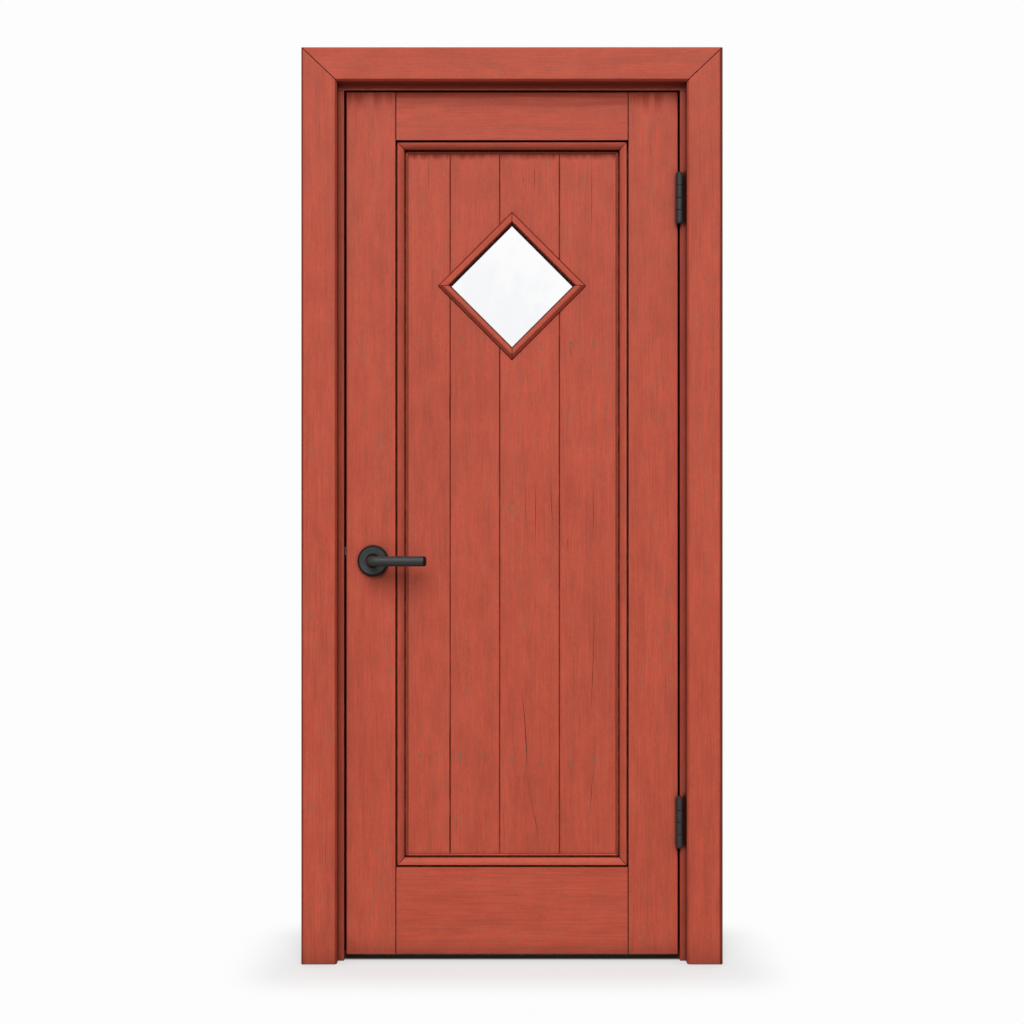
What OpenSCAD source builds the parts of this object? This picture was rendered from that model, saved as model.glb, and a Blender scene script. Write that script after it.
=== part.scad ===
// Boarded timber door with a diamond light, hung in its lining with casings on both faces.
// Millimetres. X runs along the wall, +Y runs from the front face to the back, Z is up.
// The origin lies on the floor, under the middle of the whole set.

/* [Leaf] */
// Width of the door leaf
leaf_w = 762; // [610:1:915]
// Height of the door leaf
leaf_h = 1981; // [1850:1:2200]
// Thickness of the stiles and rails
leaf_t = 44; // [42:0.5:54]
// Width of each stile
stile_w = 113; // [104:1:140]
// Height of the top rail
top_rail_h = 110; // [80:1:150]
// Height of the bottom rail
bottom_rail_h = 200; // [150:1:260]
// Gap between the leaf and the lining
leaf_gap = 5; // [3:0.5:6]
// Gap under the leaf
floor_gap = 15; // [6:1:25]
// Radius of the eased arrises
arris_r = 2; // [1:0.5:4]

/* [Panel] */
// Depth of the boards' face behind the face of the stiles
panel_recess = 12; // [10:0.5:13]
// Thickness of the boards
board_t = 18; // [16:0.5:19]
// Depth of the rebate round the boards that makes their edge tongue
board_rebate = 8; // [6:0.5:10]
// Depth of the grooves in stiles and rails that hold the boards
panel_groove = 10; // [6:0.5:12]
// Places of the board joints, as shares of the panel opening
joint_shares = [0.234, 0.447, 0.704]; // [0.1:0.001:0.9]
// Depth of the V on each edge of a board joint
joint_v = 1.5; // [0.5:0.1:2.5]
// Height of each ledge behind the boards
ledge_h = 120; // [90:1:150]
// Distance of the upper nail row below the window's centre
upper_nails_drop = 125; // [105:1:200]
// Height of the lower nail row above the foot of the leaf
lower_nails_h = 450; // [380:1:600]

/* [Panel moulding] */
// Width of the quirk beside the frame
quirk_w = 4.5; // [3:0.5:7]
// Width of the ovolo
ovolo_w = 15.5; // [12:0.5:22]
// Width of the shadow groove
shadow_groove_w = 4.5; // [3:0.5:6]
// Width of the inner fillet
fillet_w = 4; // [2:0.5:6]
// Thickness left under the quirk and the groove
moulding_web = 2; // [1.5:0.5:4]
// Distance of the ovolo's crest behind the face of the stiles
ovolo_drop = 2; // [0:0.5:4]
// Height of the ovolo's foot above the boards
ovolo_foot = 3; // [1:0.5:5]

/* [Window] */
// Distance of the window's centre below the top of the leaf
window_drop = 443; // [380:1:520]
// Half of the side of the visible glass
sight_half = 99.5; // [70:0.5:105]
// Width of each glazing bead
bead_w = 21.5; // [18:0.5:26]
// Height of a bead above the boards
bead_rise = 9; // [6:0.5:11]
// Width of the bevel on each edge of a bead
bead_bevel = 5.5; // [4:0.5:8]
// Lap of the boards' edge over the sight line
glazing_lap = 10; // [7:0.5:14]
// Thickness of the glass
glass_t = 4; // [3:0.5:6]

/* [Lining and casings] */
// Thickness of the jambs
jamb_t = 32; // [28:1:40]
// Depth of the jambs, the thickness of the wall
jamb_depth = 115; // [110:1:150]
// Width of the side casings
casing_w = 81; // [60:1:110]
// Width of the head casing
head_casing_w = 77; // [60:1:110]
// Thickness of the casings
casing_t = 25; // [18:1:32]
// Step from the jamb's face to the casing's inner edge
reveal = 13.5; // [8:0.5:24]
// Width of the bevel on the casings' inner edge
casing_bevel = 4.5; // [2:0.5:8]
// Radius of the casings' outer front edge
casing_edge_r = 3.5; // [1:0.5:6]
// Thickness of the planted stops
stop_t = 12; // [10:0.5:16]
// Width of the planted stops
stop_w = 38; // [25:1:38]
// Radius of the holes for frame fixings
fixing_r = 4.25; // [3:0.25:6]

/* [Hinges] */
// Length of a hinge's barrel
hinge_len = 112; // [88:1:130]
// Radius of the barrel
barrel_r = 7.5; // [6:0.25:7.5]
// Radius of the hinge pin
pin_r = 3.5; // [2.5:0.25:4.5]
// Distance of the pin's axis in front of the leaf
pin_stand = 8; // [7.75:0.25:9]
// Width of a hinge leaf in the timber
hinge_leaf_w = 35; // [30:1:38]
// Thickness of a hinge leaf
hinge_leaf_t = 2.5; // [2:0.25:3.5]
// Distance from the top of the leaf to the middle of the upper hinge
upper_hinge_drop = 245; // [180:1:300]
// Height of the lower hinge's middle above the foot of the leaf
lower_hinge_h = 306; // [230:1:350]

/* [Handle] */
// Height of the handle's axis above the foot of the leaf
handle_h = 905; // [850:1:1050]
// Distance of the handle's axis from the edge of the leaf
backset = 62; // [58:1:66]
// Radius of each rose
rose_r = 35; // [28:0.5:40]
// Thickness of each rose
rose_t = 9; // [7:0.5:12]
// Radius of the lever's bar
lever_r = 11.5; // [9:0.5:13]
// Length of the lever from its axis to its tip
lever_len = 125; // [100:1:150]
// Distance of the lever's front from the leaf's face
lever_reach = 62; // [55:1:72]
// Radius of the bend between the lever's neck and bar
lever_bend = 14; // [14:0.5:20]
// Width of the square spindle
spindle_w = 8; // [7:0.5:9]

/* [Latch] */
// Distance that the bolt stands out of the leaf's edge
bolt_throw = 11.5; // [9:0.5:11.5]
// Height of the bolt
bolt_h = 20; // [14:0.5:22]
// Thickness of the bolt
bolt_t = 10; // [8:0.5:10]
// Thickness of the latch case, outside
case_t = 14; // [14:0.5:18]
// Length of the follower's arm from the handle's axis
arm_len = 18; // [17:0.25:19]
// Height of the forend
forend_h = 120; // [112:1:150]

/* [Hidden] */
$fn = 64;

// Colours as the object shows them
paint = "#b85a47";
iron = "#3f4344";
steel = "#9a9c9c";
nail_grey = "#4a4441";
pane = [0.9, 0.95, 0.97, 0.45];

// One overrun for every cut, and the clearances that pieces share
over = 1;
seat_fit = 0.2;
hole_fit = 0.1;
running_fit = 0.05;
moving_fit = 0.4;

// Depth of the whole set, centred on the origin
face_y = (lever_reach - jamb_depth - casing_t) / 2;

// Leaf and panel
leaf_half = leaf_w / 2;
leaf_z0 = floor_gap;
leaf_z1 = floor_gap + leaf_h;
leaf_mid_y = leaf_t / 2;
panel_half = leaf_half - stile_w;
panel_z0 = leaf_z0 + bottom_rail_h;
panel_z1 = leaf_z1 - top_rail_h;
tenon_t = 14;
tenon_short = 0.5;
haunch_h = 30;
foot_tenon_h = 60;
foot_tenon_edge = 25;
tongue_y0 = panel_recess + board_rebate;
board_y1 = panel_recess + board_t;
board_end_gap = 1;
joint_gap = 0.6;
tongue_t = 5;
tongue_len = 7;
tongue_y = tongue_y0 + (board_y1 - tongue_y0 - tongue_t) / 2;
moulding_w = quirk_w + ovolo_w + shadow_groove_w + fillet_w;
fillet_rise = 1;

// Window
window_z = leaf_z0 + leaf_h - window_drop;
aperture_half = sight_half + glazing_lap;
bead_half = sight_half + bead_w;
bead_edge = 1.5;
glass_y = panel_recess + (board_t - glass_t) / 2;
glass_edge_gap = 1;
ledge_notch_gap = 1;
diagonal_share = sqrt(2);

// Ledges and board nails
ledge_chamfer = 6;
ledge_tenon_t = 8;
ledge_tenon_len = 30;
ledge_tenon_edge = 15;
ledge_nail_edge = 20;
nail_r = 1.5;
nail_head_r = 3.2;
nail_head_t = 1.2;
nail_len = 28;
nail_sink = 0.4;
nail_shares = [[0.28, 0.68], [0.2, 0.665], [0.2, 0.685], [0.2, 0.615]];
nail_lifts = [[5, 10], [6, 5], [-5, -11], [-8, -8]];
upper_nails_z = window_z - upper_nails_drop;
lower_nails_z = leaf_z0 + lower_nails_h;

// Lining
jamb_in = leaf_half + leaf_gap;
jamb_out = jamb_in + jamb_t;
head_z = leaf_z1 + leaf_gap;
casing_in = jamb_in + reveal;
casing_out = casing_in + casing_w;
casing_low = head_z + reveal;
casing_top = casing_low + head_casing_w;
stop_gap = 1.5;
stop_y = leaf_t + stop_gap;
head_tongue_h = 10;
head_tongue_t = 12;
head_tongue_set = 15;
fixing_edge = 16;
fixing_y = jamb_depth - fixing_edge;
fixing_sink_r = 8;
fixing_sink_d = 4;
fixing_height_shares = [0.125, 0.375, 0.625, 0.875];

// Hinges
pin_x = leaf_half + leaf_gap / 2;
knuckle_count = 4;
knuckle_gap = 1;
knuckle_pitch = hinge_len / knuckle_count;
pin_cap_h = 3;
pin_cap_taper = 1.5;
upper_hinge_z = leaf_z1 - upper_hinge_drop;
lower_hinge_z = leaf_z0 + lower_hinge_h;
hinge_screw_height_shares = [-0.36, 0, 0.36];
hinge_screw_depth_shares = [0.66, 0.36, 0.66];
screw_len = 25;
screw_r = 2;
screw_head_r = 4;
screw_head_d = 2.2;
screw_tip = 4;

// Handle and latch
handle_x = backset - leaf_half;
handle_z = leaf_z0 + handle_h;
rose_edge_r = 3;
rose_wall = 3;
rose_floor = 3.5;
collar_r = 14.5;
collar_h = 4;
lever_end_r = 5;
neck_gap = 1;
socket_len = 30;
spindle_bore_r = 9.5;
bolt_hole_spacing = 38;
rose_bolt_r = 2;
rose_bolt_head_r = 4;
rose_bolt_head_h = 3;
rose_boss_r = 6;
rose_bolt_tip = 1.5;
grub_r = 2.5;
grub_y = 22;
grub_len = 5.5;
forend_t = 3;
forend_w = 22;
case_wall = 1.5;
case_above = 36;
case_below = 16;
case_back = 26;
cavity_t = case_t - 2 * case_wall;
case_y0 = leaf_mid_y - case_t / 2;
case_x0 = forend_t - leaf_half;
case_x1 = handle_x + case_back;
case_mid = (case_above - case_below) / 2;
hub_r = 9;
journal_r = 7;
arm_half = 3;
arm_gap = 0.5;
tail_h = 5.5;
tail_t = 5;
tail_z = handle_z + arm_len + arm_gap;
bolt_z = tail_z + tail_h / 2;
bolt_inset = 18;
bolt_back_x = bolt_inset - leaf_half;
bolt_nose = 1.5;
hook_gap = 1.3;
hook_len = 8;
hook_z = handle_z + hub_r + arm_gap;
guide_gap = 5;
guide_x = handle_x - hub_r - guide_gap;
guide_t = 2;
spring_wire_r = 0.6;
spring_r = 4.7;
spring_turns = 7;
spring_steps = 16;
spring_sides = 6;
spring_end_gap = 0.3;
latch_screw_inset = 8;

// Strike plate
strike_t = 2;
strike_h = 76;
strike_w = 25;
strike_lip_h = 32;
strike_lip_set = 0.5;
strike_hole_gap = 1.5;
strike_mortise_d = 14;
strike_screw_inset = 10;

// Moves a child from the leaf's face to the centred frame of the set
module at_face() {
    translate([0, face_y, 0]) children();
}

// Box between the low and high ends of its three ranges
module block(x, y, z) {
    translate([x[0], y[0], z[0]]) cube([x[1] - x[0], y[1] - y[0], z[1] - z[0]]);
}

// Cylinder along Y
module y_bar(x, z, r, y) {
    translate([x, y[0], z]) rotate([-90, 0, 0]) cylinder(h = y[1] - y[0], r = r);
}

// Bar section, eased at both corners of its x = 0 edge
module eased_section(w, t, r) {
    translate([r, 0]) square([w - r, t]);
    translate([0, r]) square([w, t - 2 * r]);
    for (y = [r, t - r]) translate([r, y]) circle(r);
}

// Casing section, rounded at the outer corner of its y = 0 face and bevelled at the inner one
module casing_section(w) {
    r = casing_edge_r;
    polygon([
        [r, 0], [w - casing_bevel, 0], [w, casing_bevel],
        [w, casing_t], [0, casing_t], [0, r]
    ]);
    translate([r, r]) circle(r);
}

// Prism of an outline in the plane of the wall
module wall_prism(points, reach) {
    rotate([90, 0, 0]) linear_extrude(2 * reach, center = true) polygon(points);
}

// One side of a mitred square frame: the section's x is depth, its y runs inwards from the outer edge
module mitred_side(length, width, reach) {
    intersection() {
        translate([-length / 2, 0, 0]) rotate([90, 0, 90]) linear_extrude(length) children();
        wall_prism([
            [-length / 2, 0], [length / 2, 0],
            [length / 2 - width, width], [width - length / 2, width]
        ], reach);
    }
}

// Square prism standing on its corner at the window
module window_diamond(half, y) {
    translate([0, 0, window_z]) rotate([0, 45, 0]) block([-half, half], y, [-half, half]);
}

// Countersunk screw along +Z, its head's face at zero
module screw_shape(length, fit) {
    rotate_extrude() polygon([
        [0, 0], [screw_head_r + fit, 0], [screw_r + fit, screw_head_d + fit],
        [screw_r + fit, length - screw_tip], [0, length]
    ]);
}

// Jambs, head and stops

module jamb_blank() {
    block([-jamb_out, -jamb_in], [0, jamb_depth], [0, head_z]);
    head_tongue(0);
}

// Tongue of the lock jamb in the head, or its housing when it has a fit
module head_tongue(fit) {
    x0 = -(jamb_in + jamb_out + head_tongue_t) / 2;
    block([x0 - fit, x0 + head_tongue_t + fit],
        [head_tongue_set - fit, jamb_depth - head_tongue_set + fit],
        [head_z - over, head_z + head_tongue_h + fit]);
}

// Countersunk holes for frame fixings through the lock jamb
module fixing_holes() {
    for (share = fixing_height_shares)
        translate([-jamb_in, fixing_y, share * head_z]) rotate([0, -90, 0]) {
            translate([0, 0, -over]) cylinder(h = jamb_t + 2 * over, r = fixing_r);
            translate([0, 0, -over]) cylinder(h = over, r = fixing_sink_r);
            cylinder(h = fixing_sink_d, r1 = fixing_sink_r, r2 = fixing_r);
        }
}

module lock_jamb() color(paint) at_face() difference() {
    jamb_blank();
    fixing_holes();
    strike_outline(seat_fit, strike_t);
    strike_hole(strike_mortise_d);
    strike_screw_places(hole_fit);
}

module hinge_jamb() color(paint) at_face() difference() {
    mirror([1, 0, 0]) jamb_blank();
    mirror([1, 0, 0]) fixing_holes();
    for (z = [upper_hinge_z, lower_hinge_z]) {
        block([jamb_in - over, jamb_in + hinge_leaf_t], [-over, hinge_leaf_w + seat_fit],
            [z - hinge_len / 2 - seat_fit, z + hinge_len / 2 + seat_fit]);
        frame_leaf_screws(z, hole_fit);
    }
}

module head_jamb() color(paint) at_face() difference() {
    block([-jamb_out, jamb_out], [0, jamb_depth], [head_z, head_z + jamb_t]);
    head_tongue(seat_fit);
    mirror([1, 0, 0]) head_tongue(seat_fit);
}

module side_stop() {
    translate([stop_t - jamb_in, stop_y, 0]) mirror([1, 0, 0])
        linear_extrude(head_z - stop_t) eased_section(stop_t, stop_w, arris_r);
}

module lock_stop() color(paint) at_face() side_stop();

module hinge_stop() color(paint) at_face() mirror([1, 0, 0]) side_stop();

module head_stop() color(paint) at_face()
    translate([jamb_in, stop_y, head_z - stop_t]) rotate([0, -90, 0])
        linear_extrude(2 * jamb_in) eased_section(stop_t, stop_w, arris_r);

// Casings, mitred at the head

module side_casing() {
    intersection() {
        translate([-casing_out, -casing_t, 0]) linear_extrude(casing_top) casing_section(casing_w);
        wall_prism([
            [-casing_out, 0], [-casing_in, 0],
            [-casing_in, casing_low], [-casing_out, casing_top]
        ], jamb_depth);
    }
}

module head_casing() {
    intersection() {
        translate([-casing_out, -casing_t, casing_top]) rotate([0, 90, 0])
            linear_extrude(2 * casing_out) casing_section(head_casing_w);
        wall_prism([
            [-casing_out, casing_top], [casing_out, casing_top],
            [casing_in, casing_low], [-casing_in, casing_low]
        ], jamb_depth);
    }
}

module on_rear_face() {
    translate([0, jamb_depth, 0]) mirror([0, 1, 0]) children();
}

module front_casing_lock_side() color(paint) at_face() side_casing();

module front_casing_hinge_side() color(paint) at_face() mirror([1, 0, 0]) side_casing();

module front_casing_head() color(paint) at_face() head_casing();

module rear_casing_lock_side() color(paint) at_face() on_rear_face() side_casing();

module rear_casing_hinge_side() color(paint) at_face() on_rear_face()
    mirror([1, 0, 0]) side_casing();

module rear_casing_head() color(paint) at_face() on_rear_face() head_casing();

// Strike plate in the lock jamb

module strike_outline(fit, depth) {
    block([-jamb_in - depth, over - jamb_in],
        [leaf_mid_y - strike_w / 2 - fit, leaf_mid_y + strike_w / 2 + fit],
        [bolt_z - strike_h / 2 - fit, bolt_z + strike_h / 2 + fit]);
    block([-jamb_in - depth, over - jamb_in], [strike_lip_set - fit, leaf_mid_y],
        [bolt_z - strike_lip_h / 2 - fit, bolt_z + strike_lip_h / 2 + fit]);
}

module strike_hole(depth) {
    y_half = bolt_t / 2 + strike_hole_gap;
    z_half = bolt_h / 2 + strike_hole_gap;
    block([-jamb_in - depth, over - jamb_in], [leaf_mid_y - y_half, leaf_mid_y + y_half],
        [bolt_z - z_half, bolt_z + z_half]);
}

module strike_screw_places(fit) {
    for (side = [-1, 1])
        translate([-jamb_in, leaf_mid_y, bolt_z + side * (strike_h / 2 - strike_screw_inset)])
            rotate([0, -90, 0]) screw_shape(screw_len, fit);
}

module strike_plate() color(iron) at_face() difference() {
    intersection() {
        strike_outline(0, strike_t);
        block([-jamb_out, -jamb_in], [0, jamb_depth], [0, head_z]);
    }
    strike_hole(jamb_t);
    strike_screw_places(hole_fit);
}

module strike_screws() color(iron) at_face() strike_screw_places(0);

// Hinges: knuckles are counted from the foot, the odd ones belong to the lining

module knuckle_zone(z, index, r, fit) {
    z0 = z - hinge_len / 2 + index * knuckle_pitch;
    translate([pin_x, -pin_stand, z0 + knuckle_gap / 2 - fit])
        cylinder(h = knuckle_pitch - knuckle_gap + 2 * fit, r = r);
}

// Hinge leaf between two X places, with every second knuckle from the first
module hinge_leaf(z, x, first) {
    difference() {
        union() {
            difference() {
                block(x, [-pin_stand, hinge_leaf_w], [z - hinge_len / 2, z + hinge_len / 2]);
                for (index = [1 - first:2:knuckle_count - 1])
                    knuckle_zone(z, index, barrel_r + moving_fit, knuckle_gap);
            }
            for (index = [first:2:knuckle_count - 1]) knuckle_zone(z, index, barrel_r, 0);
        }
        translate([pin_x, -pin_stand, z - hinge_len / 2 - over])
            cylinder(h = hinge_len + 2 * over, r = pin_r + running_fit);
    }
}

module hinge_screw_places(z, x, turn, fit) {
    for (i = [0:len(hinge_screw_height_shares) - 1])
        translate([x, hinge_screw_depth_shares[i] * hinge_leaf_w,
            z + hinge_screw_height_shares[i] * hinge_len])
            rotate([0, turn, 0]) screw_shape(screw_len, fit);
}

module frame_leaf_screws(z, fit) hinge_screw_places(z, jamb_in, 90, fit);

module door_leaf_screws(z, fit) hinge_screw_places(z, leaf_half, -90, fit);

module frame_hinge_leaf(z) difference() {
    hinge_leaf(z, [jamb_in, jamb_in + hinge_leaf_t], 1);
    frame_leaf_screws(z, hole_fit);
}

module door_hinge_leaf(z) difference() {
    hinge_leaf(z, [leaf_half - hinge_leaf_t, leaf_half], 0);
    door_leaf_screws(z, hole_fit);
}

module hinge_pin(z) {
    half = hinge_len / 2;
    end = half + pin_cap_h;
    tip_r = barrel_r - pin_cap_taper;
    translate([pin_x, -pin_stand, z]) rotate_extrude() polygon([
        [0, -end], [tip_r, -end], [barrel_r, pin_cap_taper - end], [barrel_r, -half],
        [pin_r, -half], [pin_r, half],
        [barrel_r, half], [barrel_r, end - pin_cap_taper], [tip_r, end], [0, end]
    ]);
}

module upper_hinge_frame_leaf() color(iron) at_face() frame_hinge_leaf(upper_hinge_z);

module lower_hinge_frame_leaf() color(iron) at_face() frame_hinge_leaf(lower_hinge_z);

module upper_hinge_door_leaf() color(iron) at_face() door_hinge_leaf(upper_hinge_z);

module lower_hinge_door_leaf() color(iron) at_face() door_hinge_leaf(lower_hinge_z);

module upper_hinge_pin() color(iron) at_face() hinge_pin(upper_hinge_z);

module lower_hinge_pin() color(iron) at_face() hinge_pin(lower_hinge_z);

module frame_hinge_screws() color(iron) at_face()
    for (z = [upper_hinge_z, lower_hinge_z]) frame_leaf_screws(z, 0);

module door_hinge_screws() color(iron) at_face()
    for (z = [upper_hinge_z, lower_hinge_z]) door_leaf_screws(z, 0);

// Stiles and rails, mortised and tenoned

// Tenons of one rail over the lock stile, or their mortises when they have a fit
module tenon(z, fit) {
    x0 = tenon_short - leaf_half - (fit > 0 ? over : 0);
    block([x0, over - panel_half],
        [leaf_mid_y - tenon_t / 2 - fit, leaf_mid_y + tenon_t / 2 + fit], [z[0] - fit, z[1] + fit]);
}

module top_tenon(fit) tenon([panel_z1 + panel_groove, leaf_z1 - haunch_h], fit);

module foot_tenons(fit) {
    low = leaf_z0 + foot_tenon_edge;
    high = panel_z0 - foot_tenon_edge;
    tenon([low, low + foot_tenon_h], fit);
    tenon([high - foot_tenon_h, high], fit);
}

module ledge_tenon(nails_z, fit) {
    top = nails_z + ledge_nail_edge;
    block([-panel_half - ledge_tenon_len - fit, over - panel_half],
        [board_y1 - fit, board_y1 + ledge_tenon_t + fit],
        [top - ledge_h + ledge_tenon_edge - fit, top - ledge_tenon_edge + fit]);
}

// Groove for the boards' tongues round the panel opening
module board_groove() {
    block([-panel_half - panel_groove, panel_half + panel_groove],
        [tongue_y0 - seat_fit, board_y1 + seat_fit],
        [panel_z0 - panel_groove, panel_z1 + panel_groove]);
}

module stile_blank() {
    difference() {
        translate([-leaf_half, 0, leaf_z0])
            linear_extrude(leaf_h) eased_section(stile_w, leaf_t, arris_r);
        board_groove();
        top_tenon(seat_fit);
        foot_tenons(seat_fit);
        ledge_tenon(upper_nails_z, seat_fit);
        ledge_tenon(lower_nails_z, seat_fit);
    }
}

module lock_stile() color(paint) at_face() difference() {
    stile_blank();
    block([-leaf_half - over, case_x1 + seat_fit], [case_y0 - seat_fit, case_y0 + case_t + seat_fit],
        [handle_z - case_below - seat_fit, handle_z + case_above + seat_fit]);
    forend_outline(seat_fit);
    latch_screw_places(hole_fit);
    y_bar(handle_x, handle_z, spindle_bore_r, [-over, leaf_t + over]);
    rose_bolt_places(rose_bolt_r + hole_fit, [-over, leaf_t + over]);
}

module hinge_stile() color(paint) at_face() difference() {
    mirror([1, 0, 0]) stile_blank();
    for (z = [upper_hinge_z, lower_hinge_z]) {
        block([leaf_half - hinge_leaf_t, leaf_half + over], [-over, hinge_leaf_w + seat_fit],
            [z - hinge_len / 2 - seat_fit, z + hinge_len / 2 + seat_fit]);
        door_leaf_screws(z, hole_fit);
    }
}

module both_ends() {
    children();
    mirror([1, 0, 0]) children();
}

module top_rail() color(paint) at_face() difference() {
    union() {
        translate([-panel_half, 0, leaf_z1]) rotate([0, 90, 0])
            linear_extrude(2 * panel_half) eased_section(top_rail_h, leaf_t, arris_r);
        both_ends() top_tenon(0);
    }
    board_groove();
}

module bottom_rail() color(paint) at_face() difference() {
    union() {
        translate([panel_half, 0, leaf_z0]) rotate([0, -90, 0])
            linear_extrude(2 * panel_half) eased_section(bottom_rail_h, leaf_t, arris_r);
        both_ends() foot_tenons(0);
    }
    board_groove();
}

// Ledge behind the boards, chamfered at the back and tenoned into the stiles
module ledge(nails_z) {
    top = nails_z + ledge_nail_edge;
    low = top - ledge_h;
    difference() {
        union() {
            translate([-panel_half, 0, 0]) rotate([90, 0, 90]) linear_extrude(2 * panel_half)
                polygon([
                    [board_y1, low], [leaf_t - ledge_chamfer, low], [leaf_t, low + ledge_chamfer],
                    [leaf_t, top - ledge_chamfer], [leaf_t - ledge_chamfer, top], [board_y1, top]
                ]);
            both_ends() ledge_tenon(nails_z, 0);
        }
        window_diamond(bead_half + ledge_notch_gap, [0, leaf_t + over]);
        nail_holes();
    }
}

module upper_ledge() color(paint) at_face() ledge(upper_nails_z);

module lower_ledge() color(paint) at_face() ledge(lower_nails_z);

// Boards, tongued and grooved, with a rebated edge in the frame's groove

function joint_x(index) = (2 * joint_shares[index] - 1) * panel_half;
board_count = len(joint_shares) + 1;
board_end = panel_half + panel_groove - board_end_gap;
field_half = panel_half - moulding_w - seat_fit;
function board_x0(index) = index == 0 ? -board_end : joint_x(index - 1) + joint_gap / 2;
function board_x1(index) = index == board_count - 1 ? board_end : joint_x(index) - joint_gap / 2;

module board_section(index) {
    x0 = board_x0(index);
    x1 = board_x1(index);
    first = index == 0;
    last = index == board_count - 1;
    v0 = first ? 0 : joint_v;
    v1 = last ? 0 : joint_v;
    difference() {
        union() {
            polygon([
                [x0 + v0, panel_recess], [x1 - v1, panel_recess], [x1, panel_recess + v1],
                [x1, board_y1], [x0, board_y1], [x0, panel_recess + v0]
            ]);
            if (!last)
                translate([x1 - over, tongue_y]) square([tongue_len + over, tongue_t]);
        }
        if (!first)
            translate([x0 - over, tongue_y - seat_fit])
                square([over + tongue_len - joint_gap + seat_fit, tongue_t + 2 * seat_fit]);
    }
}

// Material that the rebate takes off the boards' face, all round the field
module edge_rebate() {
    y = [panel_recess - over, tongue_y0];
    reach = panel_half + panel_groove;
    low = panel_z0 + moulding_w + seat_fit;
    high = panel_z1 - moulding_w - seat_fit;
    block([-reach, reach], y, [panel_z0 - panel_groove, low]);
    block([-reach, reach], y, [high, panel_z1 + panel_groove]);
    block([-reach, -field_half], y, [panel_z0 - panel_groove, panel_z1 + panel_groove]);
    block([field_half, reach], y, [panel_z0 - panel_groove, panel_z1 + panel_groove]);
}

module board(index) {
    z0 = panel_z0 - panel_groove + board_end_gap;
    z1 = panel_z1 + panel_groove - board_end_gap;
    difference() {
        translate([0, 0, z0]) linear_extrude(z1 - z0) board_section(index);
        edge_rebate();
        window_diamond(aperture_half, [0, leaf_t]);
        nail_holes();
    }
}

module board_1() color(paint) at_face() board(0);

module board_2() color(paint) at_face() board(1);

module board_3() color(paint) at_face() board(2);

module board_4() color(paint) at_face() board(3);

// Two nails in each board at each ledge, left out where the window is

function field_x0(index) = max(board_x0(index), -field_half);
function field_x1(index) = min(board_x1(index), field_half);
function nail_x(index, side) =
    field_x0(index) + nail_shares[index][side] * (field_x1(index) - field_x0(index));
function at_window(x, z) = abs(x) + abs(z - window_z) < (bead_half + nail_head_r) * diagonal_share;

module nail_places() {
    for (index = [0:board_count - 1], side = [0, 1], row_z = [upper_nails_z, lower_nails_z]) {
        x = nail_x(index, side);
        z = row_z + nail_lifts[index][side];
        if (!at_window(x, z)) translate([x, panel_recess, z]) rotate([-90, 0, 0]) children();
    }
}

module nail_holes() nail_places() {
    translate([0, 0, -over]) cylinder(h = over + nail_sink + nail_head_t, r = nail_head_r + hole_fit);
    cylinder(h = nail_len + hole_fit, r = nail_r + hole_fit);
}

module board_nails() color(nail_grey) at_face() nail_places() {
    translate([0, 0, nail_sink]) cylinder(h = nail_head_t, r = nail_head_r);
    translate([0, 0, nail_sink]) cylinder(h = nail_len - nail_sink, r = nail_r);
}

// Panel mouldings: quirk, ovolo, shadow groove and fillet, mitred at the corners

module moulding_section() {
    foot_y = panel_recess - ovolo_foot;
    drop = foot_y - ovolo_drop;
    ovolo_r = (ovolo_w * ovolo_w + drop * drop) / (2 * drop);
    web_y = tongue_y0 - moulding_web;
    translate([web_y, 0]) square([moulding_web, moulding_w]);
    intersection() {
        translate([ovolo_drop, quirk_w]) square([web_y + moulding_web / 2 - ovolo_drop, ovolo_w]);
        union() {
            translate([ovolo_drop + ovolo_r, quirk_w]) circle(ovolo_r);
            translate([foot_y, quirk_w]) square([web_y, ovolo_w]);
        }
    }
    translate([panel_recess - fillet_rise, moulding_w - fillet_w])
        square([tongue_y0 - panel_recess + fillet_rise, fillet_w]);
}

module flat_moulding() {
    mitred_side(2 * panel_half, moulding_w, leaf_t) moulding_section();
}

module upright_moulding() {
    length = panel_z1 - panel_z0;
    translate([-panel_half, 0, panel_z0 + length / 2]) rotate([0, 90, 0])
        mitred_side(length, moulding_w, leaf_t) moulding_section();
}

module panel_moulding_bottom() color(paint) at_face()
    translate([0, 0, panel_z0]) flat_moulding();

module panel_moulding_top() color(paint) at_face()
    translate([0, 0, panel_z1]) rotate([0, 180, 0]) flat_moulding();

module panel_moulding_lock_side() color(paint) at_face() upright_moulding();

module panel_moulding_hinge_side() color(paint) at_face()
    mirror([1, 0, 0]) upright_moulding();

// Glazing beads: a bevelled lip on the boards and a leg in the aperture, front and back

module bead_section() {
    leg_y = glass_y - panel_recess;
    leg_u = bead_w - glazing_lap + seat_fit;
    polygon([
        [0, 0], [-bead_edge, 0], [-bead_rise, bead_bevel], [-bead_rise, bead_w - bead_bevel],
        [-bead_edge, bead_w], [leg_y, bead_w], [leg_y, leg_u], [0, leg_u]
    ]);
}

// Turn of zero is the lower bead at the hinge side, and each further turn goes clockwise
module bead(turn) {
    translate([0, panel_recess, window_z]) rotate([0, turn - 45, 0])
        translate([0, 0, -bead_half]) mitred_side(2 * bead_half, bead_w, leaf_t) bead_section();
}

module on_boards_back() {
    translate([0, panel_recess + board_y1, 0]) mirror([0, 1, 0]) children();
}

module front_bead_lower_hinge_side() color(paint) at_face() bead(0);

module front_bead_lower_lock_side() color(paint) at_face() bead(90);

module front_bead_upper_lock_side() color(paint) at_face() bead(180);

module front_bead_upper_hinge_side() color(paint) at_face() bead(270);

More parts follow.
